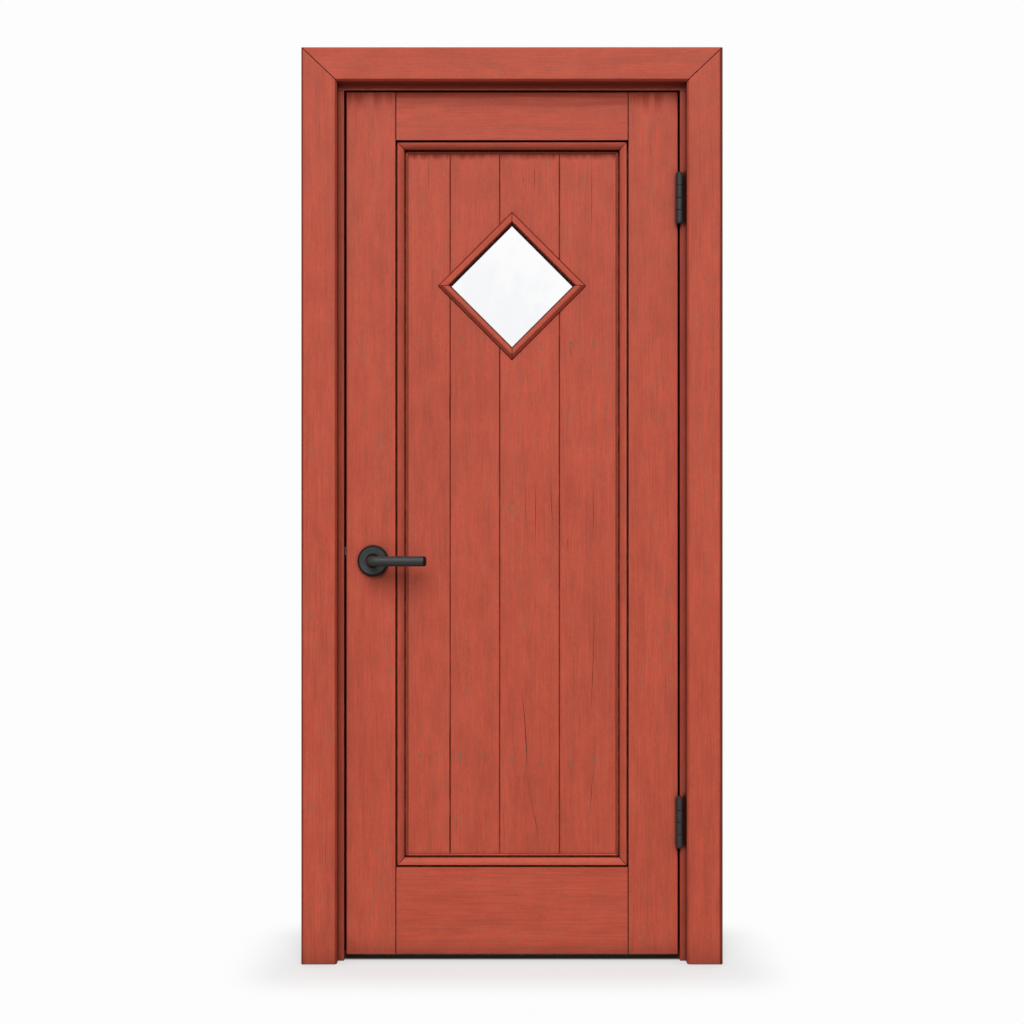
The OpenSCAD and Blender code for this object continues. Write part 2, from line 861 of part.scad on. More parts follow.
module rear_bead_lower_hinge_side() color(paint) at_face() on_boards_back() bead(0);

module rear_bead_lower_lock_side() color(paint) at_face() on_boards_back() bead(90);

module rear_bead_upper_lock_side() color(paint) at_face() on_boards_back() bead(180);

module rear_bead_upper_hinge_side() color(paint) at_face() on_boards_back() bead(270);

module window_glass() color(pane) at_face()
    window_diamond(aperture_half - glass_edge_gap, [glass_y, glass_y + glass_t]);

// Roses: turned covers with a collar, hollow at the back round two bosses

module rose_bolt_places(r, y) {
    for (side = [-1, 1]) y_bar(handle_x + side * bolt_hole_spacing / 2, handle_z, r, y);
}

module rose_section() {
    bore = lever_r + moving_fit;
    difference() {
        union() {
            translate([bore, 0]) square([rose_r - bore, rose_t - rose_edge_r]);
            translate([bore, 0]) square([rose_r - rose_edge_r - bore, rose_t]);
            translate([rose_r - rose_edge_r, rose_t - rose_edge_r]) circle(rose_edge_r);
            translate([bore, 0]) square([collar_r - bore, rose_t + collar_h]);
        }
        translate([collar_r, -over])
            square([rose_r - rose_wall - collar_r, over + rose_t - rose_floor]);
    }
}

module rose_shell() {
    translate([handle_x, 0, handle_z]) rotate([90, 0, 0]) rotate_extrude() rose_section();
    difference() {
        rose_bolt_places(rose_boss_r, [-(rose_t - rose_floor / 2), 0]);
        y_bar(handle_x, handle_z, (lever_r + collar_r) / 2, [-rose_t, over]);
    }
}

module on_leaf_back() {
    translate([0, leaf_t, 0]) mirror([0, 1, 0]) children();
}

module front_rose() color(iron) at_face() difference() {
    rose_shell();
    rose_bolt_places(rose_bolt_r + hole_fit, [rose_bolt_tip - rose_t, over]);
}

module rear_rose() color(iron) at_face() difference() {
    on_leaf_back() rose_shell();
    rose_bolt_places(rose_bolt_r + hole_fit, [leaf_t - over, leaf_t + rose_t + over]);
    rose_bolt_places(rose_bolt_head_r + hole_fit,
        [leaf_t + rose_t - rose_bolt_head_h, leaf_t + rose_t + over]);
}

module rose_bolts() color(iron) at_face() {
    head_y = leaf_t + rose_t - rose_bolt_head_h;
    rose_bolt_places(rose_bolt_r, [rose_bolt_tip + hole_fit - rose_t, head_y]);
    rose_bolt_places(rose_bolt_head_r, [head_y, leaf_t + rose_t]);
}

// Levers on the square spindle

module lever_bar() {
    length = lever_len - lever_bend;
    bar_y = lever_r - lever_reach;
    translate([handle_x + lever_bend, bar_y, handle_z]) rotate([0, 90, 0]) rotate_extrude() {
        square([lever_r, length - lever_end_r]);
        square([lever_r - lever_end_r, length]);
        translate([lever_r - lever_end_r, length - lever_end_r]) intersection() {
            circle(lever_end_r);
            square(lever_end_r);
        }
    }
}

module lever_shape() {
    bend_y = lever_r + lever_bend - lever_reach;
    difference() {
        union() {
            y_bar(handle_x, handle_z, lever_r, [bend_y, -neck_gap]);
            translate([handle_x + lever_bend, bend_y, handle_z]) rotate([0, 0, 180])
                rotate_extrude(angle = 90) translate([lever_bend, 0]) circle(lever_r);
            lever_bar();
        }
        spindle_block(seat_fit, [-socket_len, 0]);
        translate([handle_x, -grub_y, handle_z - lever_r - over])
            cylinder(h = lever_r + over, r = grub_r + hole_fit);
    }
}

module front_lever() color(iron) at_face() lever_shape();

module rear_lever() color(iron) at_face() on_leaf_back() lever_shape();

module lever_grub_screws() color(iron) at_face()
    for (y = [-grub_y, leaf_t + grub_y])
        translate([handle_x, y, handle_z - spindle_w / 2 - grub_len]) cylinder(h = grub_len, r = grub_r);

module spindle_block(fit, y) {
    half = spindle_w / 2 + fit;
    block([handle_x - half, handle_x + half], y, [handle_z - half, handle_z + half]);
}

module spindle() color(steel) at_face()
    spindle_block(0, [seat_fit - socket_len, leaf_t + socket_len - seat_fit]);

// Mortice latch: case, cover, forend, follower, bolt and spring

module case_hole_places(y) {
    y_bar(handle_x, handle_z, journal_r + running_fit, y);
    rose_bolt_places(rose_bolt_r + hole_fit, y);
}

module bolt_opening(x) {
    y_half = bolt_t / 2 + moving_fit;
    z_half = bolt_h / 2 + moving_fit;
    block(x, [leaf_mid_y - y_half, leaf_mid_y + y_half], [bolt_z - z_half, bolt_z + z_half]);
}

module latch_case() color(iron) at_face() {
    y0 = case_y0 + case_wall;
    y1 = case_y0 + case_t - case_wall;
    z0 = handle_z - case_below;
    z1 = handle_z + case_above;
    difference() {
        block([case_x0, case_x1], [case_y0, y1], [z0, z1]);
        block([case_x0 + case_wall, case_x1 - case_wall], [y0, y1 + over],
            [z0 + case_wall, z1 - case_wall]);
        case_hole_places([case_y0 - over, y0 + over]);
        bolt_opening([case_x0 - over, case_x0 + case_wall + over]);
    }
    difference() {
        block([guide_x, guide_x + guide_t], [y0, y1], [hook_z, z1 - case_wall]);
        block([guide_x - over, guide_x + guide_t + over],
            [leaf_mid_y - tail_t / 2 - moving_fit, leaf_mid_y + tail_t / 2 + moving_fit],
            [tail_z - moving_fit, tail_z + tail_h + moving_fit]);
    }
}

module latch_cover() color(iron) at_face() difference() {
    y1 = case_y0 + case_t;
    block([case_x0, case_x1], [y1 - case_wall, y1], [handle_z - case_below, handle_z + case_above]);
    case_hole_places([case_y0, y1 + over]);
}

module forend_outline(fit) {
    z = handle_z + case_mid;
    block([-leaf_half - (fit > 0 ? over : 0), forend_t - leaf_half],
        [leaf_mid_y - forend_w / 2 - fit, leaf_mid_y + forend_w / 2 + fit],
        [z - forend_h / 2 - fit, z + forend_h / 2 + fit]);
}

module latch_screw_places(fit) {
    for (side = [-1, 1])
        translate([-leaf_half, leaf_mid_y,
            handle_z + case_mid + side * (forend_h / 2 - latch_screw_inset)])
            rotate([0, 90, 0]) screw_shape(screw_len, fit);
}

module latch_forend() color(steel) at_face() difference() {
    forend_outline(0);
    bolt_opening([-leaf_half - over, forend_t - leaf_half + over]);
    latch_screw_places(hole_fit);
}

module latch_screws() color(steel) at_face() latch_screw_places(0);

module latch_follower() color(steel) at_face() difference() {
    cam_y = [leaf_mid_y - cavity_t / 2 + moving_fit, leaf_mid_y + cavity_t / 2 - moving_fit];
    union() {
        y_bar(handle_x, handle_z, journal_r, [case_y0, case_y0 + case_t]);
        y_bar(handle_x, handle_z, hub_r, cam_y);
        block([handle_x - arm_half, handle_x + arm_half], cam_y, [handle_z, handle_z + arm_len]);
    }
    spindle_block(seat_fit, [0, leaf_t]);
}

module latch_bolt() color(steel) at_face() {
    y0 = leaf_mid_y - bolt_t / 2;
    y1 = leaf_mid_y + bolt_t / 2;
    nose_x = -leaf_half - bolt_throw;
    hook_x = handle_x + arm_half + hook_gap;
    translate([0, 0, bolt_z - bolt_h / 2]) linear_extrude(bolt_h) polygon([
        [bolt_back_x, y0], [bolt_back_x, y1], [-leaf_half, y1], [nose_x, y0 + bolt_nose], [nose_x, y0]
    ]);
    tail_y = [leaf_mid_y - tail_t / 2, leaf_mid_y + tail_t / 2];
    block([bolt_back_x - over, hook_x + hook_len], tail_y, [tail_z, tail_z + tail_h]);
    block([hook_x, hook_x + hook_len], tail_y, [hook_z, tail_z + tail_h]);
}

// Wire swept along a helix, as rings of points round the X axis
module coil_spring(length) {
    rings = spring_turns * spring_steps;
    centre = function(i) let (a = 360 * i / spring_steps)
        [spring_wire_r + (length - 2 * spring_wire_r) * i / rings, spring_r * cos(a), spring_r * sin(a)];
    points = [
        for (i = [0:rings], k = [0:spring_sides - 1])
            let (a = 360 * i / spring_steps, b = 360 * k / spring_sides,
                out = spring_wire_r * cos(b), along = spring_wire_r * sin(b))
            centre(i) + [along, out * cos(a), out * sin(a)]
    ];
    faces = [
        [for (k = [0:spring_sides - 1]) k],
        for (i = [0:rings - 1], k = [0:spring_sides - 1])
            let (n = (k + 1) % spring_sides, low = i * spring_sides, high = low + spring_sides)
            [low + k, high + k, high + n, low + n],
        [for (k = [spring_sides - 1:-1:0]) rings * spring_sides + k]
    ];
    polyhedron(points, faces);
}

module latch_spring() color(steel) at_face()
    translate([bolt_back_x + spring_end_gap, leaf_mid_y, bolt_z])
        coil_spring(guide_x - bolt_back_x - 2 * spring_end_gap);

lock_jamb();
hinge_jamb();
head_jamb();
lock_stop();
hinge_stop();
head_stop();
front_casing_lock_side();
front_casing_hinge_side();
front_casing_head();
rear_casing_lock_side();
rear_casing_hinge_side();
rear_casing_head();
strike_plate();
strike_screws();
upper_hinge_frame_leaf();
lower_hinge_frame_leaf();
upper_hinge_pin();
lower_hinge_pin();
frame_hinge_screws();
lock_stile();
hinge_stile();
top_rail();
bottom_rail();
upper_ledge();
lower_ledge();
board_1();
board_2();
board_3();
board_4();
board_nails();
panel_moulding_bottom();
panel_moulding_lock_side();
panel_moulding_top();
panel_moulding_hinge_side();
front_bead_lower_hinge_side();
front_bead_lower_lock_side();
front_bead_upper_lock_side();
front_bead_upper_hinge_side();
rear_bead_lower_hinge_side();
rear_bead_lower_lock_side();
rear_bead_upper_lock_side();
rear_bead_upper_hinge_side();
window_glass();
upper_hinge_door_leaf();
lower_hinge_door_leaf();
door_hinge_screws();
front_rose();
rear_rose();
rose_bolts();
latch_case();
latch_cover();
latch_forend();
latch_screws();
front_lever();
rear_lever();
lever_grub_screws();
spindle();
latch_follower();
latch_bolt();
latch_spring();
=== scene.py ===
"""Boarded timber door with a diamond light: finishes, hardware details and studio stage."""

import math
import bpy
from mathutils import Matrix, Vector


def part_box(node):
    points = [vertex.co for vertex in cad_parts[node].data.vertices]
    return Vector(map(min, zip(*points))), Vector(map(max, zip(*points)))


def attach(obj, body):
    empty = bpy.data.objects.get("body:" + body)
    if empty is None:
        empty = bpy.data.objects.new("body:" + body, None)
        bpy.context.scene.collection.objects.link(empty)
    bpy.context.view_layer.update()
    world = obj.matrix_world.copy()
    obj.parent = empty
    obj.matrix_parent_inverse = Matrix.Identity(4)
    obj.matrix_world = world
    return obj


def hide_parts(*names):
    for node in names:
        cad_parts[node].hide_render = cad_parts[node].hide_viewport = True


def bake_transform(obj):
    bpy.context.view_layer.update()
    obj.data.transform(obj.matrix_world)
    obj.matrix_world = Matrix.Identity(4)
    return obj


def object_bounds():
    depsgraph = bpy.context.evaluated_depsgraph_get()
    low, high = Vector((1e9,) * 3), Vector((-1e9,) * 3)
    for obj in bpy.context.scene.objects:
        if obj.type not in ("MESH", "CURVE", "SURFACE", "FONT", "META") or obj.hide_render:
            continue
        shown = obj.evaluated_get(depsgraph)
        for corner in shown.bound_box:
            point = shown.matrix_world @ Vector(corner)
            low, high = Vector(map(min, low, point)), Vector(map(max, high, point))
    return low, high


bl_info = {
    "name": "Boarded Door",
    "version": (1, 0, 0),
    "blender": (4, 5, 0),
    "location": "View3D > Sidebar > Boarded Door",
    "description": "Finishes a boarded door in its lining and sets it on a studio stage",
    "category": "Object",
}

import bmesh
import bpy
from mathutils import Euler, Vector

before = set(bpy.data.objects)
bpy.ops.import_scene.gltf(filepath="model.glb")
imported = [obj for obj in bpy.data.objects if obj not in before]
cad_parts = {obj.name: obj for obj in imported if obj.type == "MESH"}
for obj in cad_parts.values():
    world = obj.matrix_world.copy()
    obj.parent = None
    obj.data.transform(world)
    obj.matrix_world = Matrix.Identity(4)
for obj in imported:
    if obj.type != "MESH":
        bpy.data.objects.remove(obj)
CAD_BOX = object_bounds()

MM = 0.001
WHITE = (0.983, 0.983, 0.983)

# Places of the door in the frame, in metres
LEAF_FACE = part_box("lock_stile")[0][1]
LEAF_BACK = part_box("lock_stile")[1][1]
BOARD_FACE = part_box("board_1")[0][1]
WINDOW_MIDDLE = [(low + high) / 2 for low, high in zip(*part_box("window_glass"))]

# Grain directions: turns that bring the length of a piece to the Z axis of its pattern
UPRIGHT = (0.0, 0.0, 0.0)
LEVEL = (0.0, math.radians(90), 0.0)
RISING = (0.0, math.radians(-45), 0.0)
FALLING = (0.0, math.radians(45), 0.0)

# Grain of the glazing beads, in the order of their finishing
BEADS = {
    "lower_hinge_side": RISING,
    "lower_lock_side": FALLING,
    "upper_lock_side": RISING,
    "upper_hinge_side": FALLING,
}

# Grain of each length of the panel moulding, tone of its paint, darker on some lengths as painted shade, and
# tone of its fillet's paint, darker as painted shade
MOULDINGS = {
    "lock_side": (UPRIGHT, 0.89, 0.88),
    "hinge_side": (UPRIGHT, 0.98, 0.88),
    "top": (LEVEL, 0.93, 0.28),
    "bottom": (LEVEL, 0.94, 0.98),
}

# Widths of eased arrises and open joints where they differ from the settings, and paint left on the joints
MITRE = {"joint": 1.2 * MM, "cover": 0.0}
SHOULDER = {"joint": 2.4 * MM, "cover": -0.2}
BOARD_EDGE = {"arris": 0.3 * MM, "joint": 0.25 * MM, "cover": 0.52}
MOULDING_EDGE = {"arris": 0.4 * MM}
BEAD_EDGE = {"arris": 0.4 * MM, "cover": -0.3}

# How far the outer edge of a front bead's flat face moves towards the glass, across and up together
BEVEL_GAIN = 4.2 * MM

# Noise patterns in the paint: scale across and along the grain, detail, roughness and distortion
PATTERNS = {
    "fibre": (430.0, 10.0, 3.0, 0.6, 0.0),
    "figure": (62.0, 1.8, 2.0, 0.5, 0.5),
    "broad": (9.0, 2.4, 3.0, 0.6, 0.0),
    "blotch": (34.0, 15.0, 4.0, 0.6, 0.0),
    "smudge": (60.0, 26.0, 4.0, 0.65, 0.0),
    "speck": (260.0, 120.0, 3.0, 0.7, 0.0),
    "scuff": (150.0, 46.0, 2.0, 0.5, 0.0),
    "hairline": (620.0, 9.0, 2.0, 0.5, 0.0),
}

# Patterns that darken and lighten the paint: the first sets its tone, the others are added to it
TONES = {
    "broad": (0.95, 1.045),
    "fibre": (-0.10, 0.09),
    "figure": (-0.03, 0.03),
    "blotch": (-0.065, 0.06),
    "speck": (-0.06, 0.05),
}

PAINT_SHINE = 0.22
IRON_SHINE = 0.285
# Darkest tone of the dirt colour: painted shadows beside the hinges, and open joints
DARKEST_TONE = 0.15

# Stain round a nail: how far it hangs below the nail, its half width and half height, in metres
STAIN_DROP, STAIN_WIDTH, STAIN_HEIGHT = 0.002, 0.0046, 0.0115

# Height between the lower and the upper row of nails, in metres
MID_HEIGHT = 1.0

# Drying checks in the boards: points (x, z) along each check, and its width, in metres
CHECKS = {
    "board_1": ((((-0.1934, 1.850), (-0.1930, 1.800), (-0.1936, 1.763)), 0.0006),),
    "board_3": (
        (((0.0515, 1.842), (0.0520, 1.800), (0.0512, 1.766)), 0.0008),
        (((0.0256, 1.806), (0.0260, 1.790)), 0.0007),
        (((0.0306, 1.092), (0.0318, 1.038), (0.0332, 0.985)), 0.0007),
        (((0.0540, 1.100), (0.0545, 1.030), (0.0543, 0.958)), 0.0009),
        (((0.0893, 1.108), (0.0905, 1.060), (0.0948, 0.992)), 0.0009),
        (((0.0232, 0.622), (0.0285, 0.560), (0.0330, 0.492), (0.0348, 0.430)), 0.0014),
        (((0.0352, 0.424), (0.0470, 0.352), (0.0560, 0.310), (0.0630, 0.262)), 0.0008),
    ),
    "board_4": (
        (((0.1830, 1.853), (0.1838, 1.760), (0.1830, 1.655)), 0.0006),
        (((0.1358, 1.4120), (0.1362, 1.3880)), 0.0008),
        (((0.1357, 0.4440), (0.1359, 0.4120)), 0.0006),
        (((0.1868, 1.110), (0.1878, 1.030), (0.1866, 0.930)), 0.0007),
        (((0.1284, 0.972), (0.1288, 0.941)), 0.0007),
        (((0.1905, 0.800), (0.1880, 0.720), (0.1855, 0.640), (0.1802, 0.545)), 0.0009),
        (((0.1882, 0.446), (0.1835, 0.390), (0.1803, 0.334)), 0.0007),
    ),
}

# A check is cut in this many steps, tapers to this share of its width and wanders this far, in metres
CHECK_STEPS = 10
CHECK_TAPER = 0.12
CHECK_WANDER = 0.0004

# Heights where the joint beside a board stands open, in metres
OPEN_JOINTS = {"board_1": ((1.244, 1.302), (0.366, 0.528), (0.250, 0.331))}

# Knots in the boards: centre (x, z) and half width and half height, in metres
KNOTS = {
    "board_3": ((0.0031, 1.0408, 0.010, 0.013), (0.0324, 0.4860, 0.004, 0.010)),
    "board_2": ((-0.0358, 0.8812, 0.003, 0.007),),
}

# Floor: its side, how far its painted shadow reaches from what casts it, the colour of that painted shadow and
# of the painted shade under the leaf
FLOOR_SIDE = 120.0
SHADOW_REACH = 0.05
SHADOW = (0.45, 0.45, 0.45)
UNDER_LEAF_SHADE = (0.064, 0.048, 0.040)


class BoardedDoorPaint(bpy.types.PropertyGroup):
    """Colours and wear of the painted timber."""

    paint: bpy.props.FloatVectorProperty(
        name="Paint", description="Colour of the paint", subtype="COLOR", default=(0.478, 0.0808, 0.0452)
    )
    bright: bpy.props.FloatVectorProperty(
        name="Bright paint", description="Colour of the paint where it is thick", subtype="COLOR",
        default=(0.522, 0.0768, 0.0416),
    )
    rubbed: bpy.props.FloatVectorProperty(
        name="Rubbed paint", description="Colour of the paint where it is rubbed thin", subtype="COLOR",
        default=(0.330, 0.120, 0.075),
    )
    # The dirt colour also paints shade in corners, along shaded edges and beside the hinge barrels.
    dirt_and_shade: bpy.props.FloatVectorProperty(
        name="Dirt", description="Colour of the dirt in corners and checks", subtype="COLOR",
        default=(0.052, 0.0105, 0.0060),
    )
    stain: bpy.props.FloatVectorProperty(
        name="Nail stain", description="Colour of the stains round the nails", subtype="COLOR",
        default=(0.235, 0.105, 0.068),
    )
    # The lining tone darkens the lining paint as painted shade in the recess.
    lining_shade_tone: bpy.props.FloatProperty(
        name="Lining tone", description="Tone of the grimy paint on the lining", subtype="FACTOR", default=0.70
    )
    arris: bpy.props.FloatProperty(
        name="Arris", description="Width of the eased arrises of the timber", subtype="DISTANCE",
        default=0.6 * MM,
    )
    joint: bpy.props.FloatProperty(
        name="Joint", description="Width of the open arris at shoulders and mitres", subtype="DISTANCE",
        default=0.9 * MM,
    )
    # The rims of the glazing beads are darkened as painted shade where they meet the boards and the glass.
    rim: bpy.props.FloatProperty(
        name="Rim", description="Width of the grimy rims of the glazing beads", subtype="DISTANCE",
        default=1.8 * MM,
    )
    check_depth: bpy.props.FloatProperty(
        name="Check depth", description="Depth of the drying checks in the boards", subtype="DISTANCE",
        default=5 * MM,
    )


class BoardedDoorMetal(bpy.types.PropertyGroup):
    """Colours and details of the hardware."""

    iron: bpy.props.FloatVectorProperty(
        name="Black iron", description="Colour of handles and hinges", subtype="COLOR",
        default=(0.018, 0.0185, 0.019),
    )
    steel: bpy.props.FloatVectorProperty(
        name="Latch steel", description="Colour of the latch and the strike", subtype="COLOR",
        default=(0.115, 0.110, 0.105),
    )
    nail: bpy.props.FloatVectorProperty(
        name="Nail iron", description="Colour of the board nails", subtype="COLOR",
        default=(0.330, 0.108, 0.072),
    )
    arris: bpy.props.FloatProperty(
        name="Metal arris", description="Width of the broken edges of the plates", subtype="DISTANCE",
        default=0.3 * MM,
    )
    knuckle: bpy.props.FloatProperty(
        name="Knuckle", description="Width of the grimy ends of the hinge knuckles", subtype="DISTANCE",
        default=0.6 * MM,
    )
    screw_slot: bpy.props.FloatProperty(
        name="Screw slot", description="Width of the slots in the screw heads", subtype="DISTANCE",
        default=1.1 * MM,
    )


class BoardedDoorStage(bpy.types.PropertyGroup):
    """Camera, light and floor of the studio."""

    camera_distance: bpy.props.FloatProperty(
        name="Camera distance", description="Distance of the camera from the face of the leaf",
        subtype="DISTANCE", default=3.0,
    )
    camera_height: bpy.props.FloatProperty(
        name="Camera height", description="Height of the camera", subtype="DISTANCE", default=1.0315
    )
    lens: bpy.props.FloatProperty(
        name="Lens", description="Focal length of the camera in millimetres", default=45.9
    )
    key_strength: bpy.props.FloatProperty(
        name="Key light", description="Strength of the soft light from above", default=3.25
    )
    key_height: bpy.props.FloatProperty(
        name="Key height", description="Angle of the key light above the floor", subtype="ANGLE",
        default=math.radians(42),
    )
    key_spread: bpy.props.FloatProperty(
        name="Key spread", description="Angle that the key light fills, for soft shadows", subtype="ANGLE",
        default=math.radians(45),
    )
    fill_power: bpy.props.FloatProperty(
        name="Fill light", description="Power of the soft light from the lock side", subtype="POWER",
        default=5.0,
    )
    ambient: bpy.props.FloatProperty(
        name="Ambient", description="Strength of the light from all round", default=0.18
    )
    rear_ambient: bpy.props.FloatProperty(
        name="Rear ambient", description="Strength of the light from all round behind the door", default=0.80
    )
    floor: bpy.props.FloatVectorProperty(
        name="Floor", description="Colour of the floor", subtype="COLOR", default=(0.64, 0.64, 0.64)
    )
    floor_bounce: bpy.props.FloatVectorProperty(
        name="Floor bounce", description="Colour of the light that the floor throws back", subtype="COLOR",
        default=(0.14, 0.14, 0.14),
    )


# Materials


class Graph:
    """Adds and links the nodes of one material or world."""

    def __init__(self, owner):
        self.owner = owner
        owner.use_nodes = True
        self.tree = owner.node_tree
        self.tree.nodes.clear()

    def node(self, kind, inputs=None, **settings):
        made = self.tree.nodes.new(kind)
        for key, value in settings.items():
            setattr(made, key, value)
        for key, value in (inputs or {}).items():
            self.put(made.inputs[key], value)
        return made

    def put(self, socket, value):
        if isinstance(value, bpy.types.NodeSocket):
            self.tree.links.new(value, socket)
        elif socket.type == "RGBA" and len(value) == 3:
            socket.default_value = (*value, 1.0)
        else:
            socket.default_value = value

    def place(self, turn=UPRIGHT, scale=(1.0, 1.0, 1.0), shift=(0.0, 0.0, 0.0)):
        """Object coordinates, turned first and then stretched."""
        coordinates = self.node("ShaderNodeTexCoord").outputs["Object"]
        if turn != UPRIGHT:
            coordinates = self.mapping({"Vector": coordinates, "Rotation": turn})
        return self.mapping({"Vector": coordinates, "Scale": scale, "Location": shift})

    def mapping(self, inputs):
        return self.node("ShaderNodeMapping", inputs, vector_type="POINT").outputs["Vector"]

    def axes(self, **placing):
        """Object coordinates taken apart."""
        return self.node("ShaderNodeSeparateXYZ", {0: self.place(**placing)}).outputs

    def length(self, vector):
        return self.node("ShaderNodeVectorMath", {0: vector}, operation="LENGTH").outputs["Value"]

    def spot(self, coordinates, x, z, half_width, half_height):
        """Distance from a mark on the face, 1 at the edge of its oval."""
        return self.length(self.mapping({
            "Vector": coordinates,
            "Location": (-x / half_width, 0.0, -z / half_height),
            "Scale": (1 / half_width, 0.0, 1 / half_height),
        }))

    def noise(self, vector, scale=1.0, detail=2.0, roughness=0.5, distortion=0.0):
        inputs = {"Vector": vector, "Scale": scale, "Detail": detail, "Roughness": roughness}
        return self.node("ShaderNodeTexNoise", {**inputs, "Distortion": distortion}).outputs[0]

    def openness(self, distance, samples=6):
        """1 where nothing stands within a distance, less in corners."""
        return self.node("ShaderNodeAmbientOcclusion", {"Distance": distance}, samples=samples).outputs["AO"]

    def math(self, operation, first, *others):
        """Works values into one, from the left; an operation on one value has no others."""
        for other in others or (0.0,):
            first = self.node("ShaderNodeMath", {0: first, 1: other}, operation=operation).outputs[0]
        return first

    def span(self, value, low, high, to_low=0.0, to_high=1.0):
        """Brings a range of a value to another range, with soft ends."""
        return self.node(
            "ShaderNodeMapRange",
            {"Value": value, "From Min": low, "From Max": high, "To Min": to_low, "To Max": to_high},
            interpolation_type="SMOOTHSTEP",
        ).outputs["Result"]

    def swing(self, noise, low, high):
        """Brings the usual range of a noise to another range."""
        return self.span(noise, 0.3, 0.7, low, high)

    def mix(self, share, first, second, blend="MIX"):
        made = self.node("ShaderNodeMix", data_type="RGBA", blend_type=blend, clamp_factor=True)
        for socket, value in ((0, share), (6, first), (7, second)):
            self.put(made.inputs[socket], value)
        return made.outputs[2]

    def bump(self, height, strength, depth):
        inputs = {"Height": height, "Strength": strength, "Distance": depth}
        return self.node("ShaderNodeBump", inputs).outputs["Normal"]

    def finish(self, **inputs):
        """Closes the material with a principled shader."""
        shader = self.node(
            "ShaderNodeBsdfPrincipled", {key.replace("_", " "): value for key, value in inputs.items()}
        )
        self.node("ShaderNodeOutputMaterial", {"Surface": shader.outputs[0]})
        return self.owner


def new_graph(name):
    return Graph(bpy.data.materials.new(name))


def paint_settings():
    return bpy.context.scene.boarded_door_paint


def metal_settings():
    return bpy.context.scene.boarded_door_metal


def toned(colour, factor):
    """A colour made darker or lighter."""
    return tuple(factor * part for part in colour)


def from_window(g, apart):
    """Distance from the middle of the diamond window, across and up together."""
    up = g.math("ABSOLUTE", g.math("SUBTRACT", apart["Z"], WINDOW_MIDDLE[2]))
    return g.math("ADD", g.math("ABSOLUTE", apart["X"]), up)


def stain_strength(x, z):
    """Share of stain round a nail: in the upper row it grows towards the hinges, and no two are alike."""
    row = 0.30 + 0.8 * x if z > MID_HEIGHT else 0.55
    return row + 0.15 * math.sin(900.0 * x + 300.0 * z)


